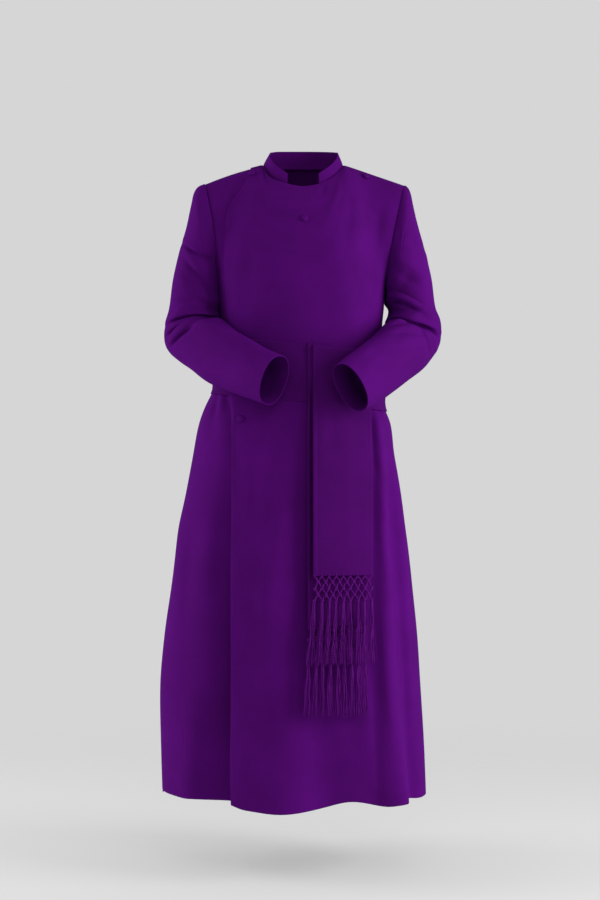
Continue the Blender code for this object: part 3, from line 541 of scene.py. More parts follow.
def upper(side, up):
    """Points of the form above the armpit."""
    front = side <= 1
    across = np.where(front, side, 2 - side)
    share, hand = np.abs(across), np.where(across >= 0, 1.0, -1.0)
    base = level(np.full(side.shape, ARMPIT), 90.0 * side)
    turn = 90.0 * across / NECK_SIDE
    at_neck = neck_loop(np.where(front, turn, 180.0 - turn))
    at_shoulder = shoulder(hand, np.clip((share - NECK_SIDE) / (1 - NECK_SIDE), 0, 1))
    top = np.where((share <= NECK_SIDE)[..., None], at_neck, at_shoulder)
    exponent = 2.0 / np.where(front, FRONT_ARC, BACK_ARC)
    base_y = np.where(np.abs(base[..., 1]) > 1e-6, base[..., 1], 1e-6)
    ratio = np.where(np.abs(base[..., 1]) > 1e-6, np.minimum(np.abs(top[..., 1] / base_y), 1.0), 0.0)
    last = np.arccos(ratio ** (1 / exponent))
    turned = up * last
    x = base[..., 0] + (top[..., 0] - base[..., 0]) * ease(up)
    y = base[..., 1] * np.maximum(np.cos(turned), 0) ** exponent
    sine = np.divide(np.sin(turned), np.sin(last), out=np.zeros_like(last), where=np.sin(last) > 1e-9)
    z = base[..., 2] + (top[..., 2] - base[..., 2]) * sine**exponent
    pit, tip = level(np.full(side.shape, ARMPIT), 90.0 * hand), shoulder(hand, np.ones(side.shape))
    end_x = pit[..., 0] + (tip[..., 0] - pit[..., 0]) * ease(up)
    end_z = pit[..., 2] + (tip[..., 2] - pit[..., 2]) * np.maximum(np.sin(turned), 0) ** exponent
    u = np.clip((share - HOLE_BLEND) / (1 - HOLE_BLEND), 0, 1)
    pull = u * (1 - 0.5 * (1 - u) ** 2)
    return stack(x, y, z) + (armhole(hand, front, up) - stack(end_x, 0.0, end_z)) * pull[..., None]


def form(side, rise):
    """Points of the whole form."""
    side, rise = np.broadcast_arrays(np.asarray(side, float), np.asarray(rise, float))
    low = level(ARMPIT + np.minimum(rise, 0) * (ARMPIT - HEM), 90.0 * side)
    return np.where((rise <= 0)[..., None], low, upper(side, np.clip(rise, 0, 1)))


def form_normal(side, rise):
    """The form's outward normal, by small steps. Above the armpit, front and back part at the armholes."""
    side, rise = np.broadcast_arrays(np.asarray(side, float), np.asarray(rise, float))
    low, high = side - NORMAL_STEP, side + NORMAL_STEP
    first = np.where(side <= 1.0, -1.0, BACK_START)
    low = np.where(rise > 0, np.maximum(low, first), low)
    high = np.where(rise > 0, np.minimum(high, first + 2.0), high)
    below, above = np.maximum(rise - NORMAL_STEP, -1.0), np.minimum(rise + NORMAL_STEP, 1.0)
    above = np.where((rise <= 0) & (above > 0), 0.0, above)
    return unit(np.cross(form(high, rise) - form(low, rise), form(side, above) - form(side, below)))


print("middle of the chest:", np.round(form(0.0, 0.3), 1).tolist())

# %% [markdown]
# ## Creases
#
# Cloth that hangs on a bending arm or pulls across a chest never stays as smooth as its cut. The main
# creases are listed one by one: each is a line as seen from the front or from behind, bowed a little, with
# its own width and reach. A positive reach is a soft ridge, a negative one a trough, and no two are alike.

# %% The creases of the fronts and backs
LINE = "x0 z0 x1 z1 bow width reach"
CREASES = {}
CREASES["front"] = table(
    LINE,
    # chest: short pulls under the collar's left end, long soft ones towards the armholes
    (44, -42, 40, -74, 0, 5, -2.6),
    (76, -44, 52, -118, 3, 8, 2.6),
    (96, -52, 84, -200, 5, 12, -1.8),
    (122, -60, 112, -230, -6, 18, 2.0),
    (168, -90, 152, -290, -8, 12, -2.8),
    (150, -200, 165, -330, 4, 11, 2.4),
    (-150, -70, -166, -200, 6, 10, -2.0),
    (-128, -95, -142, -330, 6, 13, 2.2),
    (-105, -120, -112, -300, -4, 16, -1.8),
    (-60, -150, -85, -360, 5, 24, 1.8),
    (20, -150, 30, -350, -6, 28, -1.8),
    (75, -170, 96, -370, -6, 22, 2.0),
    (12, -131, 38, -143, 0, 4.5, -1.3),
    (10, -119, 32, -114, 0, 4.5, -1.0),
    (-14, -131, -34, -140, 0, 5, -0.9),
    (-156, -90, -162, -345, 0, 27, 5.0),
    (142, -90, 150, -345, 0, 24, -2.2),
    # skirt front: tucks under the sash, the long folds beside its hanging ends, the sweep of the upper front
    (-178, -500, -190, -580, 3, 6, -3.6),
    (-153, -500, -149, -560, 0, 5, -2.8),
    (-166, -506, -168, -640, 2, 7, 2.4),
    (-193, -492, -200, -520, 0, 4, -3.4),
    (-184, -492, -187, -532, 0, 4, -4.2),
    (-157, -494, -155, -528, 0, 4, -4.0),
    (-229, -780, -258, -1030, -4, 12, -4.4),
    (-194, -720, -190, -1200, -4, 13, 5.2),
    (-262, -700, -262, -1320, 4, 12, 3.4),
    (-120, -560, -92, -1000, 12, 24, 3.4),
    (-41, -700, -86, -960, 8, 18, 4.4),
    (-64, -600, -100, -1180, -20, 22, -4.0),
    (143, -510, 157, -680, 2, 6.5, -7.0),
    (142, -520, 146, -800, 1, 7.5, -7.0),
    (156, -550, 180, -1340, 4, 9, 10.5),
    (204, -680, 228, -1330, 0, 9, 4.0),
    (180, -600, 206, -1300, 2, 10, -8.5),
    (186, -600, 206, -1000, -4, 8, -2.4),
    (196, -620, 232, -1180, -8, 10, 2.6),
    (112, -1060, 146, -1350, 4, 24, 8.0),
    (12, -1040, 28, -1350, 4, 26, -1.5),
    (-90, -1120, -82, -1330, 4, 20, -1.8),
)
CREASES["back"] = table(
    LINE,
    # back: similar pulls between the shoulders and in the skirt
    (-120, -60, -104, -260, -5, 16, 2.4),
    (118, -58, 108, -250, 6, 16, 2.2),
    (-150, -110, -142, -300, 5, 11, -2.8),
    (152, -105, 140, -310, -6, 12, -2.6),
    (-60, -90, 62, -96, 8, 20, 1.6),
    (-74, -300, -90, -400, 4, 11, -2.4),
    (70, -290, 92, -400, -4, 12, -2.6),
    (-20, -540, -34, -900, 6, 13, 3.4),
    (84, -540, 78, -980, -6, 12, -3.4),
    (-112, -560, -100, -1080, 8, 12, -3.6),
    (160, -600, 190, -1200, -8, 13, 3.6),
    (-186, -640, -226, -1240, 8, 13, -3.4),
    (20, -980, 34, -1330, -6, 16, 4.0),
)
print("creases of the body:", len(CREASES["front"]) + len(CREASES["back"]))

# %% [markdown]
# A sleeve is dragged across the upper arm and crushed in the bend of the elbow.

# %% The creases of the right sleeve
CREASES["right_front"] = table(
    LINE,
    # wearer's right sleeve: the drag across the upper arm, then the crushed cloth in the bend of the elbow
    (-268, -152, -172, -210, -11, 5.5, -4.6),
    (-258, -176, -190, -236, -6, 7, 4.4),
    (-253, -200, -181, -290, -3, 7, -4.6),
    (-262, -236, -206, -296, -4, 9, 4.2),
    (-252, -252, -186, -318, -4, 6, -3.4),
    (-268, -288, -226, -304, 4, 6, -3.4),
    (-280, -337, -170, -335, 16, 5, -5.5),
    (-276, -324, -196, -314, 15, 8, 5.0),
    (-276, -358, -188, -352, 16, 8, 5.0),
    (-214, -330, -168, -352, 4, 5, -4.0),
    (-289, -366, -248, -334, 4, 3.6, -4.2),
    (-284, -377, -240, -345, 4, 4, 2.8),
    (-278, -388, -232, -350, 4, 4, -3.6),
    (-266, -384, -214, -356, 3, 6, 2.2),
    (-262, -176, -206, -222, -5, 5, -2.6),
    (-262, -392, -150, -432, 8, 14, 2.8),
    (-228, -424, -140, -462, 4, 10, -2.4),
    (-150, -388, -84, -436, 5, 10, -2.2),
)
CREASES["right_back"] = table(
    LINE,
    (-250, -150, -196, -210, -6, 10, -3.2),
    (-262, -240, -200, -292, 6, 10, 3.2),
    (-280, -330, -214, -316, -10, 9, -4.6),
    (-272, -366, -224, -392, 6, 10, 3.2),
)
print("creases of the right sleeve:", len(CREASES["right_front"]) + len(CREASES["right_back"]))

# %% [markdown]
# The left sleeve has creases of its own, since no two arms are held alike.

# %% The creases of the left sleeve
CREASES["left_front"] = table(
    LINE,
    # wearer's left sleeve
    (200, -153, 258, -184, 2, 7, -3.8),
    (192, -196, 262, -252, 5, 9, 3.8),
    (190, -218, 256, -268, -4, 6, -3.2),
    (189, -258, 264, -302, 2, 6, -5.2),
    (188, -274, 266, -316, 3, 7, 4.4),
    (186, -290, 262, -328, 3, 6, -4.6),
    (236, -120, 264, -206, -6, 9, 3.4),
    (184, -350, 268, -350, 12, 5, -5.0),
    (226, -326, 278, -332, 8, 8, 4.4),
    (184, -338, 230, -322, 3, 7, 3.4),
    (188, -366, 252, -368, 8, 5, -4.5),
    (200, -384, 270, -384, 8, 8, 4.0),
    (182, -350, 226, -338, 2, 4.2, -5.0),
    (286, -368, 248, -346, -4, 3.8, -3.6),
    (282, -396, 262, -352, -4, 5, 2.8),
    (266, -408, 240, -350, -5, 4.5, -3.0),
    (262, -398, 168, -442, -6, 13, 2.8),
    (226, -430, 150, -480, -4, 10, -2.4),
    (160, -400, 104, -446, -4, 10, -2.2),
)
CREASES["left_back"] = table(
    LINE,
    (250, -146, 200, -214, 6, 10, -3.2),
    (262, -236, 204, -290, -6, 10, 3.0),
    (280, -334, 216, -318, 10, 9, -4.4),
    (272, -368, 226, -394, -6, 10, 3.2),
)


print("creases of the left sleeve:", len(CREASES["left_front"]) + len(CREASES["left_back"]))

# %% [markdown]
# Where cloth is crushed it folds over itself. A tuck is a line too: the cloth on its left rises and slides
# over the cloth on its right, which sinks and slides under. Creases and tucks share the same way of fading
# at their ends.

# %% The tucks
TUCKS = {}
TUCKS["right_front"] = table(
    LINE,
    (-284, -334, -168, -332, 15, 4.2, 7.5),
    (-272, -148, -172, -206, -11, 4, 3.4),
    (-291, -362, -250, -338, 3, 3.6, 2.6),
    (-283, -384, -242, -352, 3, 3.6, 2.6),
    (-216, -330, -166, -350, 2, 4, 3.4),
)
TUCKS["right_back"] = table(
    LINE,
    (-284, -338, -206, -322, -8, 5, 3.5),
)
TUCKS["left_front"] = table(
    LINE,
    (184, -347, 286, -354, 15, 4.2, 7.5),
    (188, -262, 262, -303, 2, 4.2, 3.6),
    (250, -346, 289, -364, 3, 3.6, 2.6),
    (246, -347, 270, -404, 5, 3.8, 2.8),
    (186, -368, 250, -368, 7, 4.5, 3.0),
)
TUCKS["left_back"] = table(
    LINE,
    (284, -340, 208, -324, 8, 5, 3.5),
)
TUCKS["front"] = table(
    LINE,
    (146, -515, 160, -668, 2, 7, 4.5),
    (-180, -498, -190, -560, 2, 6, 2.4),
)


print("tucks:", {piece: len(lines) for piece, lines in TUCKS.items()})

# %% [markdown]
# Both kinds of line are read in the same way: how far along the line a point lies, and how far to its left.
# Their reach is full over the middle of the line and fades softly at its ends.

# %% Reading creases and tucks
CREASE_HALF, TUCK_HALF, FADE = 0.28, 0.26, 0.2  # shares of a line's length: its full part, then its fade
SLIDE_OVER, SLIDE_UNDER, SINK_UNDER = 0.9, 0.5, 1.2  # shares of a tuck's reach


def middle_of(t, half):
    """1 over the middle of a line, up to half a length either way, then a soft fade."""
    return bell(np.maximum(np.abs(t - 0.5) - half, 0) / FADE)


def beside(line, x, z):
    """By a bowed line: the share along it, the distance to its left, and the line's own run."""
    dx, dz = line.x1 - line.x0, line.z1 - line.z0
    length = math.hypot(dx, dz)
    t = ((x - line.x0) * dx + (z - line.z0) * dz) / length**2
    across = ((z - line.z0) * dx - (x - line.x0) * dz) / length
    across = across - line.bow * (1 - (2 * np.clip(t, -0.2, 1.2) - 1) ** 2)
    return t, across, (dx, dz, length)


def crease_reach(piece, x, z):
    """How far the creases of a piece carry points at x and z out of its smooth form."""
    total = np.zeros(np.shape(x))
    for crease in CREASES[piece]:
        t, across, _ = beside(crease, x, z)
        width = crease.width * (0.75 + 0.5 * np.clip(t, 0, 1))
        total += crease.reach * middle_of(t, CREASE_HALF) * bell(across / width)
    return total


def tuck_shift(piece, x, z):
    """How far the tucks of a piece shift points at x and z: in x, in z and outwards."""
    shift = np.zeros(np.shape(x) + (3,))
    for tuck in TUCKS.get(piece, ()):
        t, across, (dx, dz, length) = beside(tuck, x, z)
        reach = tuck.reach * middle_of(t, TUCK_HALF)
        over = reach * bell((across - tuck.width) / tuck.width)
        under = reach * bell((across + tuck.width) / tuck.width)
        slide = (SLIDE_UNDER * under - SLIDE_OVER * over) / length
        shift += np.stack([-dz * slide, dx * slide, over - SINK_UNDER * under], axis=-1)
    return shift


def hand_feel(x, z):
    """The slight unevenness that pressed cloth keeps everywhere, under a millimetre."""
    broad = 0.45 * np.sin(x / 31.0 + z / 83.0) * np.sin(z / 57.0 - x / 120.0)
    return broad + 0.25 * np.sin(x / 17.0 - z / 45.0 + 1.3)


print("an even patch of cloth is uneven by", round(float(hand_feel(50.0, -300.0)), 3), "mm")

# %% [markdown]
# ## Cutting and laying a piece of cloth
#
# A piece is cut flat as a grid primitive, whose UV map is scaled to real metres so the weave runs true. Its
# points are then laid on the form, row by row. A Solidify modifier gives the cloth its thickness and one
# level of subdivision rounds the cut edges. A tube, such as a sleeve, is the same grid with its two long
# edges sewn together.

# %% Cut, lay, thicken
WELD = 0.02 * MM  # points nearer than this are sewn into one


def thicken(sheet, thickness):
    """Gives a laid sheet its thickness, outwards from its inner face, and rounds its cut edges."""
    solid = sheet.modifiers.new("thickness", "SOLIDIFY")
    solid.thickness, solid.offset = thickness, 1.0
    solid.use_quality_normals = True
    bpy.ops.object.modifier_apply(modifier=solid.name)
    smooth(sheet)


def smooth(piece):
    """One level of subdivision, and smooth shading."""
    soft = piece.modifiers.new("soft", "SUBSURF")
    soft.levels = soft.render_levels = 1
    bpy.ops.object.modifier_apply(modifier=soft.name)
    bpy.ops.object.shade_smooth()


def cut_and_lay(name, points, material, sewn=False):
    """A sheet from a grid of inner-face points (rows, columns, 3) in mm. sewn joins the two side edges."""
    rows, columns = points.shape[:2]
    across = np.linalg.norm(np.diff(points, axis=1), axis=2).sum(axis=1).mean() * MM
    down = np.linalg.norm(np.diff(points, axis=0), axis=2).sum(axis=0).mean() * MM
    bpy.ops.object.select_all(action="DESELECT")
    bpy.ops.mesh.primitive_grid_add(x_subdivisions=columns - 1, y_subdivisions=rows - 1, size=1)
    sheet = bpy.context.object
    sheet.name = name
    cut = sheet.data.uv_layers[0]
    cut.name = "cut"
    flat = np.empty(len(cut.data) * 2, np.float32)
    cut.data.foreach_get("uv", flat)
    cut.data.foreach_set("uv", (flat.reshape(-1, 2) * (across, down)).astype(np.float32).ravel())
    sheet.data.vertices.foreach_set("co", (points * MM).astype(np.float32).ravel())
    sheet.data.update()
    if sewn:
        bpy.ops.object.mode_set(mode="EDIT")
        bpy.ops.mesh.select_all(action="SELECT")
        bpy.ops.mesh.remove_doubles(threshold=WELD)
        bpy.ops.object.mode_set(mode="OBJECT")
    thicken(sheet, CLOTH * MM)
    sheet.data.materials.append(material)
    faces = sheet.data.polygons
    area = sum(face.area for face in faces) / 2
    print(f"{name}: cut {across:.3f} x {down:.3f} m, area {area:.4f} square metres, {len(faces)} faces")
    return sheet


def trim(piece):
    """The piece moves with the part's one body."""
    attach(piece, "root")


def dress(piece, node):
    """The piece takes the place of a node of the frame, whose part it hides, and moves with the part's one
    body.
    """
    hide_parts(node)
    trim(piece)


# %% [markdown]
# ## Fronts and backs
#
# The upper front is the wearer's left one. It laps right over to the wearer's right and ends in a free edge
# that curves out to the shoulder. The under front lies beneath it. A panel's columns run between lines of
# the form: each line gives a side of the body for every row. A line that follows an x is found by halving.

# %% Lines that the panels follow
HALVINGS = 26
LOWER_ROWS, UPPER_ROWS = 104, 46
NECK_TO_EDGE = 0.08  # the upper front's neckline starts this much of a side past its free edge


def side_at(x_of_height, rises):
    """The side of the front where the form's x meets x_of_height, at each rise."""
    low, high = np.full(rises.shape, -0.99), np.full(rises.shape, 0.9)
    for _ in range(HALVINGS):
        middle = (low + high) / 2
        point = form(middle, rises)
        left_of_it = point[..., 0] < x_of_height(point[..., 2])
        low, high = np.where(left_of_it, middle, low), np.where(left_of_it, high, middle)
    return (low + high) / 2


def upper_edge(rises):
    """The upper front's free edge."""
    return side_at(lambda height: read(UPPER_EDGE, "x", height), rises)


def neck_line(rises):
    """Where the upper front's neckline starts, on the wearer's right."""
    return np.maximum(-NECK_SIDE, upper_edge(rises) + NECK_TO_EDGE)


def under_edge(rises):
    """The under front's hidden edge."""
    return side_at(lambda height: np.full(height.shape, UNDER_EDGE_X), rises)


def at(side):
    """A line straight up the body."""
    return lambda rises: np.full(rises.shape, side)


hem_rises = [-1.0 + height / (ARMPIT - HEM) for height in (0, 3, 8)]
lower_rises, upper_rises = np.linspace(-1, 0, LOWER_ROWS)[2:], np.linspace(0, 1, UPPER_ROWS)[1:-1]
PANEL_RISES = np.concatenate([hem_rises, lower_rises, upper_rises, [0.988, 1.0]])
print("rows in a panel:", len(PANEL_RISES))

# %% [markdown]
# The columns between two lines are spaced evenly, with an extra one close to each edge to keep it crisp.
# The cloth sinks a little at a sewn edge, as pressed cloth does.

# %% Columns and seams
SEAM_SINK, SEAM_WIDTH = 0.7, 4.0  # how deep the cloth sinks at a sewn edge, and over what width
SEAM_OVERLAP = 0.6  # fronts and backs run this far into each other, so that no light passes a seam
CLOSE_COLUMN = 0.3  # the extra column stands this share of a column in from the edge


def columns_between(stops, rises):
    """The side of every column in every row, from stops of (line, columns up to it)."""
    sides = [stops[0][0](rises)[:, None]]
    for (start, _), (end, count) in zip(stops, stops[1:]):
        low, high = start(rises)[:, None], end(rises)[:, None]
        sides.append(low + (high - low) * (np.arange(1, count + 1) / count)[None, :])
    sides = np.concatenate(sides, axis=1)
    first, last = sides[:, :1], sides[:, -1:]
    after_first = first + (sides[:, 1:2] - first) * CLOSE_COLUMN
    before_last = last - (last - sides[:, -2:-1]) * CLOSE_COLUMN
    return np.concatenate([first, after_first, sides[:, 1:-1], before_last, last], axis=1)


def seam_sink(points, sewn_start, sewn_end):
    """How far each point sinks near sewn edges, by its distance from them along the row."""
    steps = np.linalg.norm(np.diff(points, axis=1), axis=2)
    from_start = np.concatenate([np.zeros((len(points), 1)), np.cumsum(steps, axis=1)], axis=1)
    from_end = from_start[:, -1:] - from_start
    sink = np.zeros(from_start.shape)
    for sewn, away in ((sewn_start, from_start), (sewn_end, from_end)):
        if sewn:
            sink += SEAM_SINK * bell(away / SEAM_WIDTH) * ease((-40.0 - points[..., 2]) / 25.0)
    return sink


print("side of the free edge at the hem:", round(float(upper_edge(PANEL_RISES)[0]), 3))

# %% [markdown]
# A panel is laid in one go: its smooth points on the form, its creases, its lift and its sunk seams. The
# hem of the front isn't level: it hangs lower where the cloth comes forward, and higher over its troughs
# and along the under front.

# %% A panel on the form
HEM_WAVES = table("x width drop", (-45, 60, 7.5), (100, 48, -12.5), (208, 16, -6.0))
UNDER_HEM_LIFT = 9.5  # the under front's hem is this much higher
HEM_START = 0.72  # how far down the skirt the hem's shape starts
NECK_CALM = 0.12  # creases fade out over this rise below the neck and shoulder seams
BUTTON_DIMPLE, DIMPLE_WIDTH = 1.8, 11.0  # a sewn button draws the cloth in
button_places = [sum(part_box(node), Vector()) / 2 / MM for node in ("button_neck", "button_waist")]
print("sewn buttons at", [(round(place.x, 1), round(place.z, 1)) for place in button_places])


def hem_drop(x):
    """How much lower than level the front's hem hangs."""
    drop = sum(wave.drop * bell((x - wave.x) / wave.width) for wave in HEM_WAVES)
    return drop - UNDER_HEM_LIFT * (1 - ease((x + 165.0) / 50.0))


def shifted(points, normals, reach, tucked):
    """The points carried out along their normals, and along the cloth where it is tucked."""
    points = points + (reach + tucked[..., 2])[..., None] * normals
    points[..., 0] += tucked[..., 0]
    points[..., 2] += tucked[..., 1]
    return points


def lay_panel(name, node, stops, face, lift, sewn):
    """A body panel between lines of the form, lifted off it by lift(sides, rises), with its creases."""
    sides = columns_between(stops, PANEL_RISES)
    rises = np.broadcast_to(PANEL_RISES[:, None], sides.shape)
    points, normals = form(sides, rises), form_normal(sides, rises)
    points[..., 1] += SEAM_OVERLAP / 2 * (1 if face == "front" else -1)
    x, z = points[..., 0], points[..., 2]
    reach = (crease_reach(face, x, z) + hand_feel(x, z)) * ease((1.0 - rises) / NECK_CALM)
    reach += lift(sides, rises) - seam_sink(points, *sewn)
    if node == "front_left":
        for place in button_places:
            reach -= BUTTON_DIMPLE * bell(np.hypot(x - place.x, z - place.z) / DIMPLE_WIDTH)
    if face == "front":
        z -= hem_drop(x) * ease((-rises - HEM_START) / (1 - HEM_START))
    sheet = cut_and_lay(name, shifted(points, normals, reach, tuck_shift(face, x, z)), gabardine)
    dress(sheet, node)
    return sheet


# %% [markdown]
# The upper front is lifted a lap's height over the under front, and a little more along its free edge,
# unevenly, so that the edge throws a thin shadow. On the wearer's right its neckline isn't sewn to the
# collar: it stands free, in front of and a little above the collar's foot.

# %% The two fronts
NECK_STAND = 5.0  # how far the free neckline stands off the collar's foot
EDGE_LIFT, EDGE_WIDTH = 1.5, 0.09  # the free edge's mean lift, and how broad it is as a share of a side
UNDER_DIP = 11.0  # the under front falls back towards the hem, so that the upper one hangs clear of it
HIDDEN_DIP = 24.0  # and the part that is hidden falls back further


def upper_lift(sides, rises):
    """The lap over the under front, the wavy lift of the free edge and the free neckline's stand."""
    lap = LAP * (1 - ease((sides - 0.3) / 0.5))
    near_edge = bell((sides - upper_edge(rises[:, 0])[:, None]) / EDGE_WIDTH)
    uneven = EDGE_LIFT + 0.9 * np.sin(rises * 19.0) + 0.5 * np.sin(rises * 47.0 + 1.0)
    stands = NECK_STAND * ease((rises - 0.88) / 0.12) * ease((0.02 - sides) / 0.25)
    stands = stands * ease((sides + NECK_SIDE) / 0.10)
    return lap + near_edge * uneven * ease((0.97 - rises) / 0.2) + stands


def under_lift(sides, rises):
    """The fall of the under front, behind the upper front's hem."""
    past_edge = sides - upper_edge(rises[:, 0])[:, None]
    hidden = HIDDEN_DIP * ease(-(rises + 0.1) / 0.8) * ease((past_edge + 0.11) / 0.10)
    return -UNDER_DIP * ease(-(rises + 0.25) / 0.75) * ease((sides + 0.75) / 0.35) - hidden


upper_stops = [(upper_edge, 0), (neck_line, 8), (at(NECK_SIDE), 36), (at(1.0), 17)]
under_stops = [(at(-1.0), 0), (upper_edge, 12), (neck_line, 5), (under_edge, 18)]
upper_front = lay_panel("upper_front", "front_left", upper_stops, "front", upper_lift, (False, True))
under_front = lay_panel("under_front", "front_right", under_stops, "front", under_lift, (True, False))

# %% [markdown]
# The back is cut in two, with a seam down its middle. The two halves run a little way into each other
# there, so that no light passes the seam.

# %% The two backs
MIDDLE_OVERLAP = 0.5 / 190.0  # half a millimetre each way, as a share of a side


def no_lift(sides, _):
    return np.zeros(sides.shape)


left_stops = [(at(BACK_START), 0), (at(2 - NECK_SIDE), 14), (at(2.0 + MIDDLE_OVERLAP), 15)]
right_stops = [(at(2.0 - MIDDLE_OVERLAP), 0), (at(2 + NECK_SIDE), 15), (at(3.0), 14)]
back_left = lay_panel("back_left_panel", "back_left", left_stops, "back", no_lift, (True, True))
back_right = lay_panel("back_right_panel", "back_right", right_stops, "back", no_lift, (True, True))

# %% [markdown]
# ## Sleeves
#
# A sleeve is one cut sewn into a tube along the inside of the arm. Its rings run from the armhole down the
# upper arm, round the bent elbow and along the forearm, which lies across the waist. Each row of the first
# two tables is a ring: its outer point, its inner point and half its depth. The tables after them swell and
# crush the tube: a position counts the rings, and a turn goes round one, 0 outside, 90 in front, 180
# inside.

# %% Sizes of the sleeves
RIGHT_SLEEVE = table(
    "ox oy oz ix iy iz depth",
    (-209, 0, -43, -179, 0, -255, 60),
    (-229, 0, -49, -183, 0, -261, 63),
    (-238, 0, -82, -184, 0, -267, 64),
    (-249, 0, -133, -184, 0, -273, 64),
    (-263, 0, -183, -183, 0, -280, 63),
    (-272, 1, -230, -181, -1, -290, 62),
    (-280, 4, -273, -180, -4, -302, 61),
    (-284, 10, -311, -180, -14, -316, 60),
    (-284, 21, -350, -186, -35, -328, 58),
    (-277, 21, -393, -190, -49, -330, 55),
    (-248, 0, -420, -190, -62, -332, 52),
    (-222, -30, -440, -184, -72, -334, 49),
    (-188, -72, -467, -153, -110, -357, 45),
    (-149, -112, -484, -117, -147, -379, 43),
    (-112, -149, -499, -82, -179, -400, 41),
    (-73, -186, -514, -45, -204, -417, 40),
)
LEFT_SLEEVE = table(
    "ox oy oz ix iy iz depth",
    (217, 0, -43, 177, 0, -255, 60),
    (227, 0, -49, 184, 0, -261, 63),
    (234, 0, -82, 186, 0, -267, 64),
    (245, 0, -131, 187, 0, -273, 64),
    (259, 0, -183, 187, 0, -280, 63),
    (269, 1, -230, 187, -1, -290, 62),
    (277, 4, -273, 187, -4, -302, 61),
    (281, 10, -311, 187, -14, -317, 60),
    (283, 21, -348, 190, -35, -330, 58),
    (274, 21, -390, 193, -48, -332, 55),
    (252, 0, -423, 195, -60, -334, 52),
    (235, -30, -444, 191, -72, -339, 49),
    (206, -70, -466, 163, -112, -364, 45),
    (177, -112, -488, 133, -151, -388, 43),
    (149, -151, -509, 103, -186, -411, 41),
    (120, -188, -527, 72, -206, -434, 40),
)
SLEEVE_FOLDS = table(
    "position turn length spread reach",
    (9.5, 180, 0.9, 60, -5),  # inside the elbow
    (7.9, 170, 0.8, 50, 5),
    (11.1, 170, 0.8, 50, 5),
    (7.2, 140, 0.5, 45, -4),
    (9.5, 0, 1.6, 55, 1.5),  # outside the elbow
    (5.4, 75, 0.7, 60, 3),  # the front of the upper arm
    (4.2, 60, 0.6, 50, -3),
)
SLEEVE_SWELLS = table(
    "position length side sharpness right left",  # side: 1 outside, -1 inside
    (0.95, 0.4, 1, 5, 2.2, 0.4),  # the sleeve head
    (0.35, 0.3, 1, 2, 1.8, 1.8),
    (4.6, 1.2, 1, 2, 2.6, 2.6),  # the upper arm
    (6.0, 1.6, -1, 1, 3.5, 0.0),  # inside the upper arm, above the elbow
)
UNDERARM_FILL = 12.0  # the cloth bunches on the inside of the upper arm, and closes on the body there
SEAM_GROOVE, SEAM_SPREAD = 0.9, 4.0  # the underarm seam's depth, and its width in degrees
RING_SQUARENESS = 0.92  # 1 is an ellipse, less is squarer
print("rings in a sleeve:", len(RIGHT_SLEEVE))

# %% [markdown]
# The tube starts exactly at the armhole's edge and turns into the rings within the first two of them. Its
# normal is found, as the body form's is, from small steps round it and along it.

# %% The sleeve's form
def along_rows(rows, position):
    """All columns of a table at positions between rows, on a smooth curve."""
    values = np.array(rows, float)
    k = np.minimum(position.astype(int), len(rows) - 2)
    u = (position - k)[..., None]
    p0, p1 = values[np.maximum(k - 1, 0)], values[k]
    p2, p3 = values[k + 1], values[np.minimum(k + 2, len(rows) - 1)]
    bend = (2 * p0 - 5 * p1 + 4 * p2 - p3) * u * u + (3 * p1 - p0 - 3 * p2 + p3) * u**3
    return 0.5 * (2 * p1 + (p2 - p0) * u + bend)


def sleeve_edge(hand, turn):
    """The sleeve's own edge, just outside the armhole's edge and the panel's thickness there."""
    front = turn <= 180.0
    up = np.where(front, 1 - turn / 180.0, turn / 180.0 - 1)
    side = np.where(front, 1.0 * hand, 2.0 - hand)
    side = np.where((side == 1.0) & ~front, BACK_START, side)
    edge = armhole(np.full(turn.shape, float(hand)), front, up)
    normal = form_normal(side, np.maximum(up, 0.004))
    into_tips = 0.25 - 0.9 * np.cos(np.radians(turn)) ** 4
    edge[..., 0] += hand * (SEAM_GAP + into_tips + CLOTH * np.maximum(hand * normal[..., 0], 0.0))
    return edge


def steps_along(rows, position, step):
    """Positions a step before and a step after, within the table."""
    return np.maximum(position - step, 0), np.minimum(position + step, len(rows) - 1)


def sleeve_form(rows, hand, position, turn):
    """Points of a sleeve, by position and turn."""
    values = along_rows(rows, position)
    outer, inner, depth = values[..., 0:3], values[..., 3:6], values[..., 6:7]
    low, high = [along_rows(rows, place) for place in steps_along(rows, position, 0.3)]
    onward = high[..., 0:3] + high[..., 3:6] - low[..., 0:3] - low[..., 3:6]
    front = unit(np.cross((outer - inner) / 2, onward)) * depth
    front = np.where(front[..., 1:2] > 0, -front, front)
    sine, cosine = [power(value, RING_SQUARENESS)[..., None] for value in sine_cosine(turn)]
    point = (outer + inner) / 2 + (outer - inner) / 2 * cosine + front * sine
    blend = ease(position / 1.6)[..., None]
    return np.where(blend < 1, sleeve_edge(hand, turn % 360.0) * (1 - blend) + point * blend, point)


def sleeve_normal(rows, hand, position, turn):
    """A sleeve's outward normal."""
    around = sleeve_form(rows, hand, position, turn + 2) - sleeve_form(rows, hand, position, turn - 2)
    low, high = steps_along(rows, position, 0.05)
    onward = sleeve_form(rows, hand, high, turn) - sleeve_form(rows, hand, low, turn)
    normal = unit(np.cross(around, onward)) * hand
    sine, cosine = sine_cosine(turn)
    return np.where((position == 0)[..., None], stack(0.0, -sine, cosine), normal)


elbow = sleeve_form(RIGHT_SLEEVE, -1, np.array([8.0]), np.array([0.0]))
print("right elbow:", np.round(elbow, 1).tolist())

# %% [markdown]
# A forearm rests on the waist, so the sleeve keeps off the body form by the layers that lie under it: the
# fronts, the cincture's band and, on the wearer's left, its two hanging ends. The band lies a little lower
# on the wearer's left.

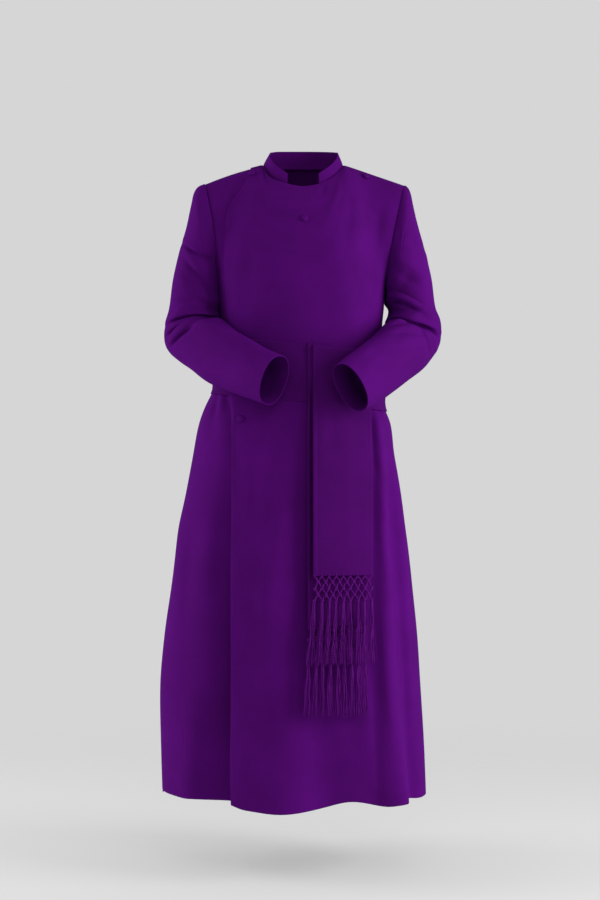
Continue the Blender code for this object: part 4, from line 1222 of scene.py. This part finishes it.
# %% Keep the sleeve off what it rests on
SLEEVE_CLEAR = 0.6
BAND_TOP, BAND_BOTTOM = -388.0, -508.0  # the band's edges, in the middle
BAND_TILT, BAND_MIDDLE = 0.1, -8.0  # its fall for each millimetre to the left of its middle
BAND_LAYERS = 7.6
END_MIDDLE, END_REACH, END_LAYERS = 80.0, 86.0, 7.6  # where the hanging ends lie across the band


def band_fall(x):
    return BAND_TILT * (x - BAND_MIDDLE)


def band_height(x, up):
    """The height of the band at x, from its lower edge (up 0) to its upper edge (up 1)."""
    return BAND_BOTTOM + (BAND_TOP - BAND_BOTTOM) * up - band_fall(x)


def sleeve_room(position, point):
    """How far off the body form the sleeve's inner face has to stay."""
    x, y, z = point[..., 0], point[..., 1], point[..., 2]
    layers = CLOTH + SLEEVE_CLEAR + np.where(y < 0, LAP * ease((position - 1.0) / 3.0), 0.0)
    over_band = ease((band_height(x, 1) + 18.0 - z) / 12.0)
    layers = layers + BAND_LAYERS * over_band
    layers = layers + END_LAYERS * over_band * ease((END_REACH - np.abs(x - END_MIDDLE)) / 16.0)
    return layers * ease(position / 0.7) + CLOTH


def clear_of_body(point, room):
    """Points moved level away from the body form where they are nearer than room."""
    height = np.minimum(point[..., 2], ARMPIT)
    half_width, centre_x = read(BODY, "half_width", height), read(BODY, "centre_x", height)
    depth = np.where(point[..., 1] < 0, read(BODY, "front", height), read(BODY, "back", height))
    square = read(BODY, "squareness", height)
    for _ in range(4):
        x, y = (point[..., 0] - centre_x) / half_width, point[..., 1] / depth
        reach = (np.abs(x) ** square + np.abs(y) ** square) ** (1 / square)
        slope = stack(power(x, square - 1) / half_width, power(y, square - 1) / depth, 0.0)
        slope = slope / (reach ** (square - 1))[..., None]
        steep = np.linalg.norm(slope, axis=-1)
        short = np.maximum(room - (reach - 1) / steep, 0)
        point = point + slope / steep[..., None] * short[..., None]
    return point


print("band's upper edge at its left end:", band_height(190.0, 1))

# %% [markdown]
# Now a sleeve can be laid: its smooth tube, then the swells, folds, creases and tucks, and last the room it
# keeps over the body. Creases and tucks fade out towards the tube's outline, as they are drawn from the
# front or behind.

# %% Lay the two sleeves
SLEEVE_ROWS, SLEEVE_COLUMNS = 176, 56
UNDERARM_SEAM = 180.0  # the turn where the sleeve's two edges are sewn together
CREASE_FADING = 0.3  # the lower, the further a crease reaches round the tube
TUCK_FADING_OUTSIDE, TUCK_FADING_INSIDE = 0.7, 0.35


def sleeve_swell(hand, position, turn):
    """The folds round the elbow, the swells of the arm and the fullness under it."""
    total = np.zeros(position.shape)
    for fold in SLEEVE_FOLDS:
        along, around = (position - fold.position) / fold.length, wrapped(turn - fold.turn) / fold.spread
        total += fold.reach * np.exp(-(along**2) - around**2)
    cosine = np.cos(np.radians(turn))
    for swell in SLEEVE_SWELLS:
        reach = swell.left if hand > 0 else swell.right
        facing = np.maximum(swell.side * cosine, 0) ** swell.sharpness
        total += reach * bell((position - swell.position) / swell.length) * facing
    under_arm = ease(position / 1.5) * (1 - ease((position - 5.0) / 1.6))
    return total + UNDERARM_FILL * under_arm * np.maximum(-cosine, 0) ** 2


def lay_sleeve(name, node, rows, hand, creased):
    """A sleeve as one sewn tube. creased is the start of its names in the tables of creases and tucks."""
    last = len(rows) - 1
    down = np.concatenate([[0, 0.06, 0.2], np.linspace(0, last, SLEEVE_ROWS)[2:-1], [last - 0.06, last]])
    round_it = UNDERARM_SEAM + np.linspace(0, 360, SLEEVE_COLUMNS + 1)
    position, turn = np.meshgrid(down, round_it, indexing="ij")
    points = sleeve_form(rows, hand, position, turn % 360.0)
    normals = sleeve_normal(rows, hand, position, turn % 360.0)
    x, z = points[..., 0], points[..., 2]
    reach = sleeve_swell(hand, position, turn) + hand_feel(x * 1.3, z) * ease(position / 2)
    reach -= SEAM_GROOVE * bell(wrapped(turn - UNDERARM_SEAM) / SEAM_SPREAD) * ease(position / 1.5)
    tucked = np.zeros(points.shape)
    sine, cosine = sine_cosine(turn)
    fading = np.where(cosine > 0, TUCK_FADING_OUTSIDE, TUCK_FADING_INSIDE)
    for face, towards in ((creased + "_front", 1), (creased + "_back", -1)):
        facing = np.maximum(towards * sine, 0)
        reach += crease_reach(face, x, z) * facing**CREASE_FADING
        tucked += tuck_shift(face, x, z) * (facing**fading * ease(position / 1.5))[..., None]
    points = shifted(points, normals, reach, tucked)
    settled = clear_of_body(points, sleeve_room(position, points))
    points = np.where((position > 0)[..., None], settled, points)
    sheet = cut_and_lay(name, points if hand > 0 else points[:, ::-1], gabardine, sewn=True)
    dress(sheet, node)
    return sheet


right_sleeve = lay_sleeve("right_sleeve_tube", "sleeve_right", RIGHT_SLEEVE, -1, "right")
left_sleeve = lay_sleeve("left_sleeve_tube", "sleeve_left", LEFT_SLEEVE, 1, "left")

# %% [markdown]
# ## Collar
#
# A band collar: a stiffened strip that stands up from the neckline and leans in to the neck, open in front.
# Its table goes from the front opening (height 0) to the nape (height 1) on both sides.

# %% The band collar
COLLAR_GAP_X, COLLAR_INSET = 34.0, 0.5
COLLAR_CORNER = 2.5  # its front corners are cut down by this much
COLLAR_FOOT = 3.0  # at the nape its foot reaches down over the back's edge
COLLAR = table(
    "height tall lean_left lean_right",
    (0.0, 27, 3, 3),
    (0.25, 30, 6, 8),
    (0.55, 32, 16, 22),
    (0.8, 34, 12, 14),
    (1.0, 35, 9, 9),
)
COLLAR_ROWS, COLLAR_COLUMNS = 9, 96


def crisp(start, end, count, close):
    """Evenly spaced values, with one more close to each end to keep that edge crisp."""
    return np.concatenate([[start, start + close], np.linspace(start, end, count)[1:-1], [end - close, end]])


def lay_collar():
    first = math.degrees(math.asin(COLLAR_GAP_X / NECK_HALF))
    angles = crisp(first, 360 - first, COLLAR_COLUMNS, 0.8)
    up, angle = np.meshgrid(crisp(0.0, 1.0, COLLAR_ROWS, 0.04), angles, indexing="ij")
    share = 1 - np.abs(angle - 180.0) / (180.0 - first)
    around = neck_loop(angle + 1) - neck_loop(angle - 1)
    inward = unit(np.cross(np.broadcast_to((0.0, 0.0, 1.0), around.shape), around))
    lean = np.where(angle < 180.0, read(COLLAR, "lean_left", share), read(COLLAR, "lean_right", share))
    tall = read(COLLAR, "tall", share) - COLLAR_CORNER * bell(share / 0.03) + neck_dip(angle)
    inset = COLLAR_INSET + CLOTH + lean * up**1.2 + 0.5 * np.sin(np.pi * up) * np.sin(angle / 9.0)
    inset = inset + 0.3 * neck_dip(angle) * (1 - up) ** 1.5
    points = neck_loop(angle) + inward * inset[..., None]
    behind = ease((np.cos(np.radians(180.0 - angle)) - 0.2) / 0.3)
    points[..., 2] += tall * up - COLLAR_FOOT * (1 - ease(up / 0.1)) * behind
    return cut_and_lay("band_collar", points, gabardine)


band_collar = lay_collar()
dress(band_collar, "collar")

# %% [markdown]
# ## Cincture
#
# The cincture is a broad sash of ribbed cloth. Its band goes once round the waist and is sewn to itself
# behind. It lies flatter along its lower edge, and a soft roll of cloth pushes it out on the wearer's
# right.

# %% The waist band
BAND_COLUMNS, BAND_ROWS = 132, 13
BAND_SEAM = 200.0  # the angle where its ends are sewn together
BAND_LIFT = 6.8  # its inner face stands this far off the body form
LOWER_SAG, SIDE_SAG = 2.6, 1.9  # its lower edge lies closer, and more so at the sides
BAND_ROLL, BAND_RIPPLE, RIGHT_BULGE = 0.7, 0.5, 4.5


def lay_band():
    round_it = np.linspace(0, 360, BAND_COLUMNS + 1) + BAND_SEAM
    up, angle = np.meshgrid(crisp(0.0, 1.0, BAND_ROWS, 0.025), round_it, indexing="ij")
    guess = level(np.full(angle.shape, BAND_BOTTOM), angle, folded=False)
    height = band_height(guess[..., 0], up)
    point, ahead, behind = [level(height, angle + step, folded=False) for step in (0, 2, -2)]
    normal = unit(np.cross(ahead - behind, np.broadcast_to((0.0, 0.0, 1.0), ahead.shape)))
    sine = np.sin(np.radians(angle))
    sag = (LOWER_SAG + SIDE_SAG * np.abs(sine) ** 6) * (1 - ease(up / 0.45)) - BAND_ROLL * np.sin(np.pi * up)
    ripple = BAND_RIPPLE * np.sin(angle / 14.0) * np.sin(2.5 * np.pi * up + angle / 40.0)
    bulge = RIGHT_BULGE * np.maximum(-sine, 0) ** 6 * ease((up - 0.05) / 0.2) * (1 - ease((up - 0.5) / 0.3))
    point = point + normal * (BAND_LIFT - sag + ripple + bulge)[..., None]
    return cut_and_lay("waist_band", point, poplin, sewn=True)


waist_band = lay_band()
dress(waist_band, "cincture_band")

# %% [markdown]
# Two ends hang in front of the band on the wearer's left, the rear one longer and set a little to the side.
# Each end folds over the band's upper edge, has a narrow hem turned in along both sides, and swings a
# little forward as it hangs down.

# %% The two hanging ends
FRONT_END = (20.0, 141.0, -866.0)  # its two edges in x, and the height where the weaving stops
REAR_END = (9.0, 130.0, -970.0)
END_TOP, END_FOLD = -392.0, 8.0  # the last few millimetres fold back over the band's upper edge
FRONT_END_LIFT, REAR_END_LIFT = 14.8, 10.4
FRONT_STAND = 4.5  # below the waist the front end stands this much further off the rear one
SIDE_HEM = np.array([0.0, 0.012, 0.035, 0.052, 0.062, 0.08])  # columns in a side hem, as shares of the width
HEM_RISE = 0.8
REAR_TUCK = 7.5  # the rear end's visible edge curls back under the front one
SWING = table("height out", (-1160, 18), (-900, 8), (-500, 0))
END_CREASES = table(
    "share from_z to_z width reach",
    (0.16, -430, -700, 0.05, 0.9),
    (0.34, -400, -620, 0.07, -1.1),
    (0.58, -470, -860, 0.08, 0.9),
    (0.80, -400, -560, 0.05, -0.9),
    (0.90, -600, -960, 0.05, 0.8),
)


def front_spot(x, height, lift):
    """A point in front of the unfolded skirt, lifted off it, and the outward normal there."""
    half_width, centre_x = read(BODY, "half_width", height), read(BODY, "centre_x", height)
    depth, square = read(BODY, "front", height), read(BODY, "squareness", height)
    across = (x - centre_x) / half_width
    forward = (1 - np.abs(across) ** square) ** (1 / square)
    normal = unit(stack(power(across, square - 1) / half_width, -(forward ** (square - 1)) / depth, 0.0))
    off = (lift + read(SWING, "out", height)) / np.maximum(-normal[..., 1], 0.55)
    return stack(x, -depth * forward - off, height), normal


def stand_off(height, lift):
    """How much further than its lift an end stands off the skirt."""
    return (FRONT_STAND if lift == FRONT_END_LIFT else 0.0) * ease((-500.0 - height) / 160.0)


def lay_end(name, node, end, lift):
    """One hanging end, from the bottom of its weaving up to its fold over the band."""
    left, right, bottom = end
    ups = np.concatenate([[0.0, 0.004], np.linspace(0, 0.98, 62)[1:], [0.985, 0.99, 0.995, 1.0]])
    shares = np.concatenate([SIDE_HEM, np.linspace(0, 1, 17)[2:-2], 1 - SIDE_HEM[::-1]])
    up, share = np.meshgrid(ups, shares, indexing="ij")
    x = left + (right - left) * share
    height = bottom + (END_TOP + END_FOLD - bottom) * up
    height = height - band_fall(x) * ease((height - bottom) / (END_TOP - bottom))
    over_top = ease((height + band_fall(x) - END_TOP - 1.0) / 7.0) ** 1.5
    point, normal = front_spot(x, height, lift)
    hemmed = 1 - ease((np.minimum(share, 1 - share) - 0.048) / 0.014)
    reach = HEM_RISE * hemmed + stand_off(height, lift) - (lift - 2.0) * over_top
    if lift == REAR_END_LIFT:
        reach = reach - REAR_TUCK * bell((share - 0.09) / 0.05) * ease((-450.0 - height) / 60.0)
    for crease in END_CREASES:
        t = (height - crease.from_z) / (crease.to_z - crease.from_z)
        reach = reach + crease.reach * middle_of(t, 0.25) * bell((share - crease.share) / crease.width)
    sheet = cut_and_lay(name, point + normal * reach[..., None], poplin)
    dress(sheet, node)
    return sheet


rear_end = lay_end("rear_end", "cincture_end_rear", REAR_END, REAR_END_LIFT)
front_end = lay_end("front_end", "cincture_end_front", FRONT_END, FRONT_END_LIFT)

# %% [markdown]
# ## Fringes
#
# Each end's warp is drawn out, knotted into a net four rows deep, and left to hang in tassels. A cord is a
# thin tube along a path, so one function makes them all: it carries a small ring along each path and joins
# the rings.

# %% A tube along a path
def length_along(points):
    """How far along a path each of its points lies."""
    return np.concatenate([[0], np.cumsum(np.linalg.norm(np.diff(points, axis=0), axis=1))])


def tubes(name, paths, sides, material):
    """One mesh of closed tubes. Each path is (points in mm, radius at each point in mm)."""
    verts, faces, uvs = [], [], []
    for points, radii in paths:
        points = np.asarray(points, float)
        tangents = unit(np.gradient(points, axis=0))
        across = np.array((0.0, 1.0, 0.0) if abs(tangents[0][1]) < 0.9 else (1.0, 0.0, 0.0))
        run = length_along(points) * MM
        first = len(verts)
        for point, tangent, radius in zip(points, tangents, radii):
            across = across - tangent * np.dot(across, tangent)
            across = across / np.linalg.norm(across)
            other = np.cross(tangent, across)
            for s in range(sides):
                a = 2 * math.pi * s / sides
                verts.append(point + radius * (across * math.cos(a) + other * math.sin(a)))
        for k in range(len(points) - 1):
            base, low, high = first + k * sides, run[k], run[k + 1]
            for s in range(sides):
                t = (s + 1) % sides
                faces.append((base + s, base + t, base + sides + t, base + sides + s))
                u, v = s / sides, (s + 1) / sides
                uvs.append(((u, low), (v, low), (v, high), (u, high)))
        last = len(verts) - sides
        faces.append(tuple(range(first + sides - 1, first - 1, -1)))
        faces.append(tuple(range(last, last + sides)))
        uvs += [((0.0, run[0]),) * sides, ((0.0, run[-1]),) * sides]
    mesh = bpy.data.meshes.new(name)
    mesh.from_pydata((np.array(verts) * MM).tolist(), [], faces)
    layer = mesh.uv_layers.new(name="strand")
    layer.data.foreach_set("uv", np.array([c for face in uvs for pair in face for c in pair], np.float32))
    mesh.shade_smooth()
    mesh.materials.append(material)
    made = bpy.data.objects.new(name, mesh)
    bpy.context.scene.collection.objects.link(made)
    print(name, "strands:", len(paths), "faces:", len(faces))
    return made


# %% [markdown]
# The net's knots stand in staggered rows. Two cords leave each knot for the two knots below it, a little
# slack, one passing over the other, and a short loop sews each first cord to the cloth. All the small
# differences come from one seeded source of chance, so each run makes the same fringe.

# %% The net
NET_CELLS, KNOT_ROWS = 8, 4
NET_DROP, NET_TOP = 13.0, 1.0  # how far each row drops, and how much nearer to the cloth they all lie
KNOT = 2.2  # half a knot's width
CORD_RADIUS, KNOT_RADIUS, LOOP_RADIUS = 1.75, 1.25, 1.0
SLACK = (-0.3, 1.7)
KNOT_BITE = 1.7  # how tight the overhand loops are drawn
ANY_PHASE = (0, 6.28)
FRONT_OF_SASH = 1.0  # the cords hang from the middle of the cloth's thickness


def hang(x, z, lift, out):
    """A point of the fringe: x and z as seen from the front, out towards the viewer."""
    spot, normal = front_spot(x, z, lift)
    return spot + normal * (out + FRONT_OF_SASH + stand_off(z, lift))[..., None]


def knot_places(end, chance):
    """The knots' places, row by row, under a first row along the sash's lower edge."""
    left, right, bottom = end
    step = (right - left - 2 * KNOT) / NET_CELLS
    rows = [[(left + KNOT + step * k, bottom - SEAM_GAP) for k in range(NET_CELLS + 1)]]
    for row in range(1, KNOT_ROWS + 1):
        start, count = (step / 2, NET_CELLS) if row % 2 else (0.0, NET_CELLS + 1)
        rows.append([])
        for k in range(count):
            x = left + KNOT + start + step * k + chance.uniform(-0.9, 0.9)
            rows[-1].append((x, bottom - (NET_DROP * row - NET_TOP) - chance.uniform(-1.0, 1.0)))
    return rows


def net_paths(rows, lift, chance):
    """Cords from knot to knot, and the loops that sew the first ones to the cloth."""
    paths = []
    t = np.linspace(0, 1, 13)
    arch = np.sin(np.pi * t)
    for number, (above, below) in enumerate(zip(rows, rows[1:])):
        odd = number % 2
        for k, (x, z) in enumerate(above):
            for side in (-1, 1):
                other = k + (side + 1) // 2 - (1 - odd)
                if not 0 <= other < len(below):
                    continue
                to_x, to_z = below[other]
                slack = side * chance.uniform(*SLACK) * arch
                out = side * np.cos(np.pi * t) * (1 if odd else -1) + 0.4
                lumps = 0.95 + 0.25 * np.cos(4 * np.pi * t + chance.uniform(*ANY_PHASE)) * arch
                cord = hang(x + (to_x - x) * t + slack, z + (to_z - z) * t, lift, out)
                paths.append((cord, CORD_RADIUS * lumps))
    t = np.linspace(0, 1, 6)
    for x, z in rows[0]:
        loop = hang(x + 0 * t, z + 6.5 * (1 - t) - 1.5 * t, lift, 1.1 * np.sin(np.pi * t) + 0.2)
        paths.append((loop, [LOOP_RADIUS] * len(t)))
    return paths


def knot_path(x, z, lift, chance):
    """A small overhand knot, its loops pulled tight."""
    t = np.linspace(0, 2 * math.pi, 22)
    tilt = chance.uniform(-0.6, 0.6)
    a = (np.sin(t) + KNOT_BITE * np.sin(2 * t)) * 1.05
    b = (np.cos(t) - KNOT_BITE * np.cos(2 * t)) * 1.1
    xs = x + a * math.cos(tilt) - b * math.sin(tilt)
    zs = z + a * math.sin(tilt) + b * math.cos(tilt)
    return hang(xs, zs, lift, 0.9 + 0.9 * np.sin(3 * t)), [KNOT_RADIUS] * len(t)


print("knots in a net:", KNOT_ROWS // 2 * (2 * NET_CELLS + 1))

# %% [markdown]
# A tassel hangs from each knot of the last row: a few twisted bunches that carry its bulk, and loose yarns
# that fray out at the tips. The outermost tassels lean out a little.

# %% The tassels
TASSEL = table(
    "count radius spread ragged",
    (4, 1.45, 3.6, 5.0),  # twisted bunches
    (9, 0.6, 6.2, 8.0),  # loose yarns
)
STRAND_POINTS, TAPER = 19, 0.62
FRONT_TASSEL, REAR_TASSEL = 130.0, 131.0
FRONT_LEAN, REAR_LEAN = 9.0, 3.0  # how far the outermost tassels lean out at their tips


def strand(kind, x, z, lift, length, lean, spot, chance):
    """One strand: it leaves the knot with the others, parts from them, waves and ends where it likes."""
    t = np.linspace(0, 1, STRAND_POINTS)
    free = np.minimum(t * 3, 1)
    fan = spot * (1.6 + kind.spread * t**1.1) + lean * t**1.2
    phase, waves = chance.uniform(*ANY_PHASE), chance.uniform(1.2, 2.8)
    wave = chance.uniform(0.5, 1.7) * np.sin(phase + waves * 2 * math.pi * t) * free
    out = chance.uniform(-0.6, 2.6) * free + 0.8 * np.sin(phase * 2 + 6 * t)
    radii = np.linspace(kind.radius, kind.radius * TAPER, STRAND_POINTS)
    return hang(x + fan + wave, z - length * t, lift, out), radii


def tassel_paths(x, z, lift, length, lean, chance):
    paths = []
    for kind in TASSEL:
        for k in range(kind.count):
            spot = (k + 0.5) / kind.count * 2 - 1 + chance.uniform(-0.25, 0.25)
            cut = length - chance.uniform(0.0, kind.ragged)
            paths.append(strand(kind, x, z, lift, cut, lean, spot, chance))
    return paths


def make_fringe(name, node, end, lift, length, leaning, seed):
    """The net of one end, which stands for the frame's fringe, and the tassels below it."""
    chance = random.Random(seed)
    rows = knot_places(end, chance)
    paths = net_paths(rows, lift, chance)
    paths += [knot_path(x, z, lift, chance) for row in rows[1:] for x, z in row]
    net = tubes(name + "_net", paths, 6, fringe_yarn)
    strands = []
    for k, (x, z) in enumerate(rows[-1]):
        lean = -leaning * (1 - k / (len(rows[-1]) - 1)) ** 1.5 + chance.uniform(-1.6, 1.6)
        strands += tassel_paths(x, z - 1.0, lift, length, lean, chance)
    tassels = tubes(name + "_tassels", strands, 5, fringe_yarn)
    dress(net, node)
    trim(tassels)


make_fringe("front_fringe", "fringe_front", FRONT_END, FRONT_END_LIFT, FRONT_TASSEL, FRONT_LEAN, 11)
make_fringe("rear_fringe", "fringe_rear", REAR_END, REAR_END_LIFT, REAR_TASSEL, REAR_LEAN, 23)

# %% [markdown]
# ## Covered buttons
#
# Each button is a dome covered with the cassock's own cloth, gathered under its rim. A circle is filled,
# its rim is extruded ring by ring, and a subdivision rounds it. It is seated on the upper front's finished
# surface.

# %% Buttons on the upper front
BUTTON_RADIUS, BUTTON_HEIGHT = 7.5 * MM, 5.2 * MM
BUTTON_RINGS = table(
    "out up",  # share of the radius, share of the height
    (0.78, 0.02),
    (0.97, 0.16),
    (1.0, 0.36),
    (0.93, 0.60),
    (0.74, 0.82),
    (0.42, 0.96),
    (0.12, 1.0),
)
BUTTON_SIDES = 24
GATHER_DEPTH, GATHERED_BELOW = 0.018, 0.3  # the cover's puckers, in the lowest part of the height
BUTTON_SHIFTS = {"button_shoulder_left": Vector((0.0, -0.009, -0.003))}  # nearer the front than in the frame


def unwrap_flat(piece):
    """A UV map in metres, seen from above, so that the weave has its true scale on a small piece."""
    layer = piece.data.uv_layers[0]
    layer.name = "cut"
    for loop in piece.data.loops:
        place = piece.data.vertices[loop.vertex_index].co
        layer.data[loop.index].uv = (place.x, place.y)


def seat_on(cloth, spot):
    """The place on the cloth's outer face straight behind a spot, and the outward direction there."""
    _, facing, _, _ = cloth.find_nearest(spot + Vector((0.0, -0.02, 0.02)))
    foot, outward, _, _ = cloth.ray_cast(spot + facing * 0.03, -facing)
    return foot, outward


def make_button(name, node, cloth):
    low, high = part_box(node)
    foot, outward = seat_on(cloth, (low + high) / 2 + BUTTON_SHIFTS.get(node, Vector()))
    bpy.ops.object.select_all(action="DESELECT")
    rim = BUTTON_RINGS[0].out * BUTTON_RADIUS
    bpy.ops.mesh.primitive_circle_add(vertices=BUTTON_SIDES, radius=rim, fill_type="NGON")
    button = bpy.context.object
    button.name = name
    bpy.ops.object.mode_set(mode="EDIT")
    bpy.ops.mesh.select_all(action="SELECT")
    for before, ring in zip(BUTTON_RINGS, BUTTON_RINGS[1:]):
        rise = (ring.up - before.up) * BUTTON_HEIGHT
        bpy.ops.mesh.extrude_region_move(TRANSFORM_OT_translate={"value": (0, 0, rise)})
        bpy.ops.transform.resize(value=(ring.out / before.out, ring.out / before.out, 1))
    bpy.ops.mesh.select_all(action="SELECT")
    bpy.ops.mesh.normals_make_consistent(inside=False)
    bpy.ops.object.mode_set(mode="OBJECT")
    for vert in button.data.vertices:
        if vert.co.z < GATHERED_BELOW * BUTTON_HEIGHT:
            gather = 1 + GATHER_DEPTH * math.sin(12 * math.atan2(vert.co.y, vert.co.x))
            vert.co.x, vert.co.y = vert.co.x * gather, vert.co.y * gather
    smooth(button)
    unwrap_flat(button)
    button.data.transform(outward.to_track_quat("Z", "Y").to_matrix().to_4x4())
    button.data.transform(Matrix.Translation(foot + outward * SEAM_GAP * MM))
    button.data.materials.append(gabardine)
    dress(button, node)
    return foot, outward


cloth_surface = BVHTree.FromObject(upper_front, bpy.context.evaluated_depsgraph_get())
seats = {}
for node in ("button_neck", "button_waist", "button_shoulder_right", "button_shoulder_left"):
    seats[node] = make_button("covered_" + node, node, cloth_surface)
print("buttons:", list(seats))

# %% [markdown]
# ## Buttonholes
#
# The buttons at the neck and at the waist each sit at one end of a buttonhole: a slit whose two lips are
# bound with close stitches. The binding is one thin cord run round a long narrow loop and dropped onto the
# cloth.

# %% Bound buttonholes
HOLE_LENGTH, HOLE_HEIGHT = 19.0, 2.6
BINDING_RADIUS, BINDING_PROUD = 0.75, 0.25
SHANK = 2.0  # the button's shank stands this far inside the buttonhole's end
LOOP_TURNS = np.radians(np.linspace(0, 360, 49))


def buttonhole_path(foot, outward, cloth):
    """The loop of a buttonhole that starts under its button and runs towards the wearer's right."""
    along = outward.cross(Vector((0, 0, 1))).normalized()
    along = -along if along.x > 0 else along
    up = outward.cross(along).normalized()
    laid = []
    for turn in LOOP_TURNS:
        run = HOLE_LENGTH / 2 * (1 + 0.98 * float(power(np.cos(turn), 0.35))) - SHANK
        rise = HOLE_HEIGHT / 2 * float(power(np.sin(turn), 0.7))
        spot = foot + (along * run + up * rise) * MM
        place, facing, _, _ = cloth.find_nearest(spot + outward * 0.003)
        laid.append(np.array(place + facing * BINDING_PROUD * MM) / MM)
    return laid, [BINDING_RADIUS] * len(laid)


loops = [buttonhole_path(*seats[node], cloth_surface) for node in ("button_neck", "button_waist")]
trim(tubes("buttonhole_bindings", loops, 6, sewing_thread))

# %% [markdown]
# ## Stitches
#
# A row of small stitches runs a few millimetres inside the upper front's free edge. Each stitch is a short
# spindle of thread that dips into the cloth at both ends. The row is planned on the body form, well off the
# cloth, and then each of its points is dropped to the nearest spot of the finished surface.

# %% The row of stitches
STITCH_PITCH, STITCH_LENGTH, STITCH_RADIUS = 3.4, 2.5, 0.28
STITCH_SHAPE = ((-0.15, 0.5), (0.22, 1), (0.22, 1), (-0.15, 0.5))  # how proud, and its share of the radius
EDGE_STITCH_IN, DROPPED_FROM = 7.0, 4.0


def stitch_paths(line, cloth):
    """Stitches along a line of points in mm, dropped onto the cloth's surface."""
    paths = []
    run = length_along(line)
    for start in np.arange(2.0, run[-1] - STITCH_LENGTH, STITCH_PITCH):
        spots = np.linspace(start, start + STITCH_LENGTH, len(STITCH_SHAPE))
        points = np.stack([np.interp(spots, run, line[:, k]) for k in range(3)], axis=1)
        laid = []
        for point, (proud, _) in zip(points, STITCH_SHAPE):
            foot, outward, _, _ = cloth.find_nearest(Vector(point * MM))
            if outward.dot(Vector(point * MM) - foot) < 0:
                outward = -outward
            laid.append(np.array(foot + outward * proud * MM) / MM)
        paths.append((laid, [STITCH_RADIUS * share for _, share in STITCH_SHAPE]))
    return paths


edge_rises = np.linspace(-0.999, 0.955, 420)
edge_sides = side_at(lambda height: read(UPPER_EDGE, "x", height) + EDGE_STITCH_IN, edge_rises)
edge_line = form(edge_sides, edge_rises) + form_normal(edge_sides, edge_rises) * (LAP + CLOTH + DROPPED_FROM)
trim(tubes("edge_stitches", stitch_paths(edge_line, cloth_surface), 4, sewing_thread))

# %% [markdown]
# ## Floor
#
# A pale floor takes a soft shadow. It fades away by distance from its middle, so no horizon shows.

# %% The floor
FLOOR_HEIGHT, FLOOR_RADIUS = -1.50, 9.0
FLOOR_COVER = 0.55  # the floor lets the backdrop's own tone through, so the shadow on it stays faint
FADE_FROM, FADE_TO = 0.4, 2.4  # metres from its middle
FLOOR_PAINT = {"Base Color": linear("f4f4f4"), "Roughness": 0.9, "Specular IOR Level": 0.1}


def floor_material():
    """Matt floor paint, nearly white."""
    made, tree, shader = new_material("painted_studio_floor")
    set_values(shader, FLOOR_PAINT)
    place = add_node(tree, "TexCoord").outputs["Object"]
    away = add_node(tree, "VectorMath", {"operation": "LENGTH"}, None, {0: place})
    span = {"From Min": FADE_FROM, "From Max": FADE_TO, "To Min": FLOOR_COVER, "To Max": 0.0}
    soft = {"interpolation_type": "SMOOTHSTEP"}
    fade = add_node(tree, "MapRange", soft, span, {"Value": away.outputs["Value"]})
    tree.links.new(fade.outputs["Result"], shader.inputs["Alpha"])
    return made


bpy.ops.mesh.primitive_circle_add(vertices=96, radius=FLOOR_RADIUS, fill_type="NGON")
floor = bpy.context.object
floor.location.z = FLOOR_HEIGHT
floor.name = "studio_floor"
floor.data.materials.append(floor_material())
print("floor at", FLOOR_HEIGHT)

# %% [markdown]
# ## What each sheet was cut from
#
# The table lists how large each cloth piece's flat cut was, in metres and square metres, and whether the
# piece hangs or is stretched.

CUTS = table(
    "piece width length area held",
    (upper_front, 0.66, 1.37, 0.62, "hung"),
    (under_front, 0.46, 1.37, 0.48, "hung"),
    (back_left, 0.44, 1.38, 0.43, "hung"),
    (back_right, 0.44, 1.38, 0.43, "hung"),
    (right_sleeve, 0.42, 0.62, 0.19, "hung"),
    (left_sleeve, 0.42, 0.62, 0.18, "hung"),
    (band_collar, 0.42, 0.04, 0.014, "hung"),
    (waist_band, 1.04, 0.12, 0.1248, "stretched"),
    (front_end, 0.125, 0.50, 0.0625, "hung"),
    (rear_end, 0.125, 0.60, 0.075, "hung"),
)
print("sheets:", len(CUTS))
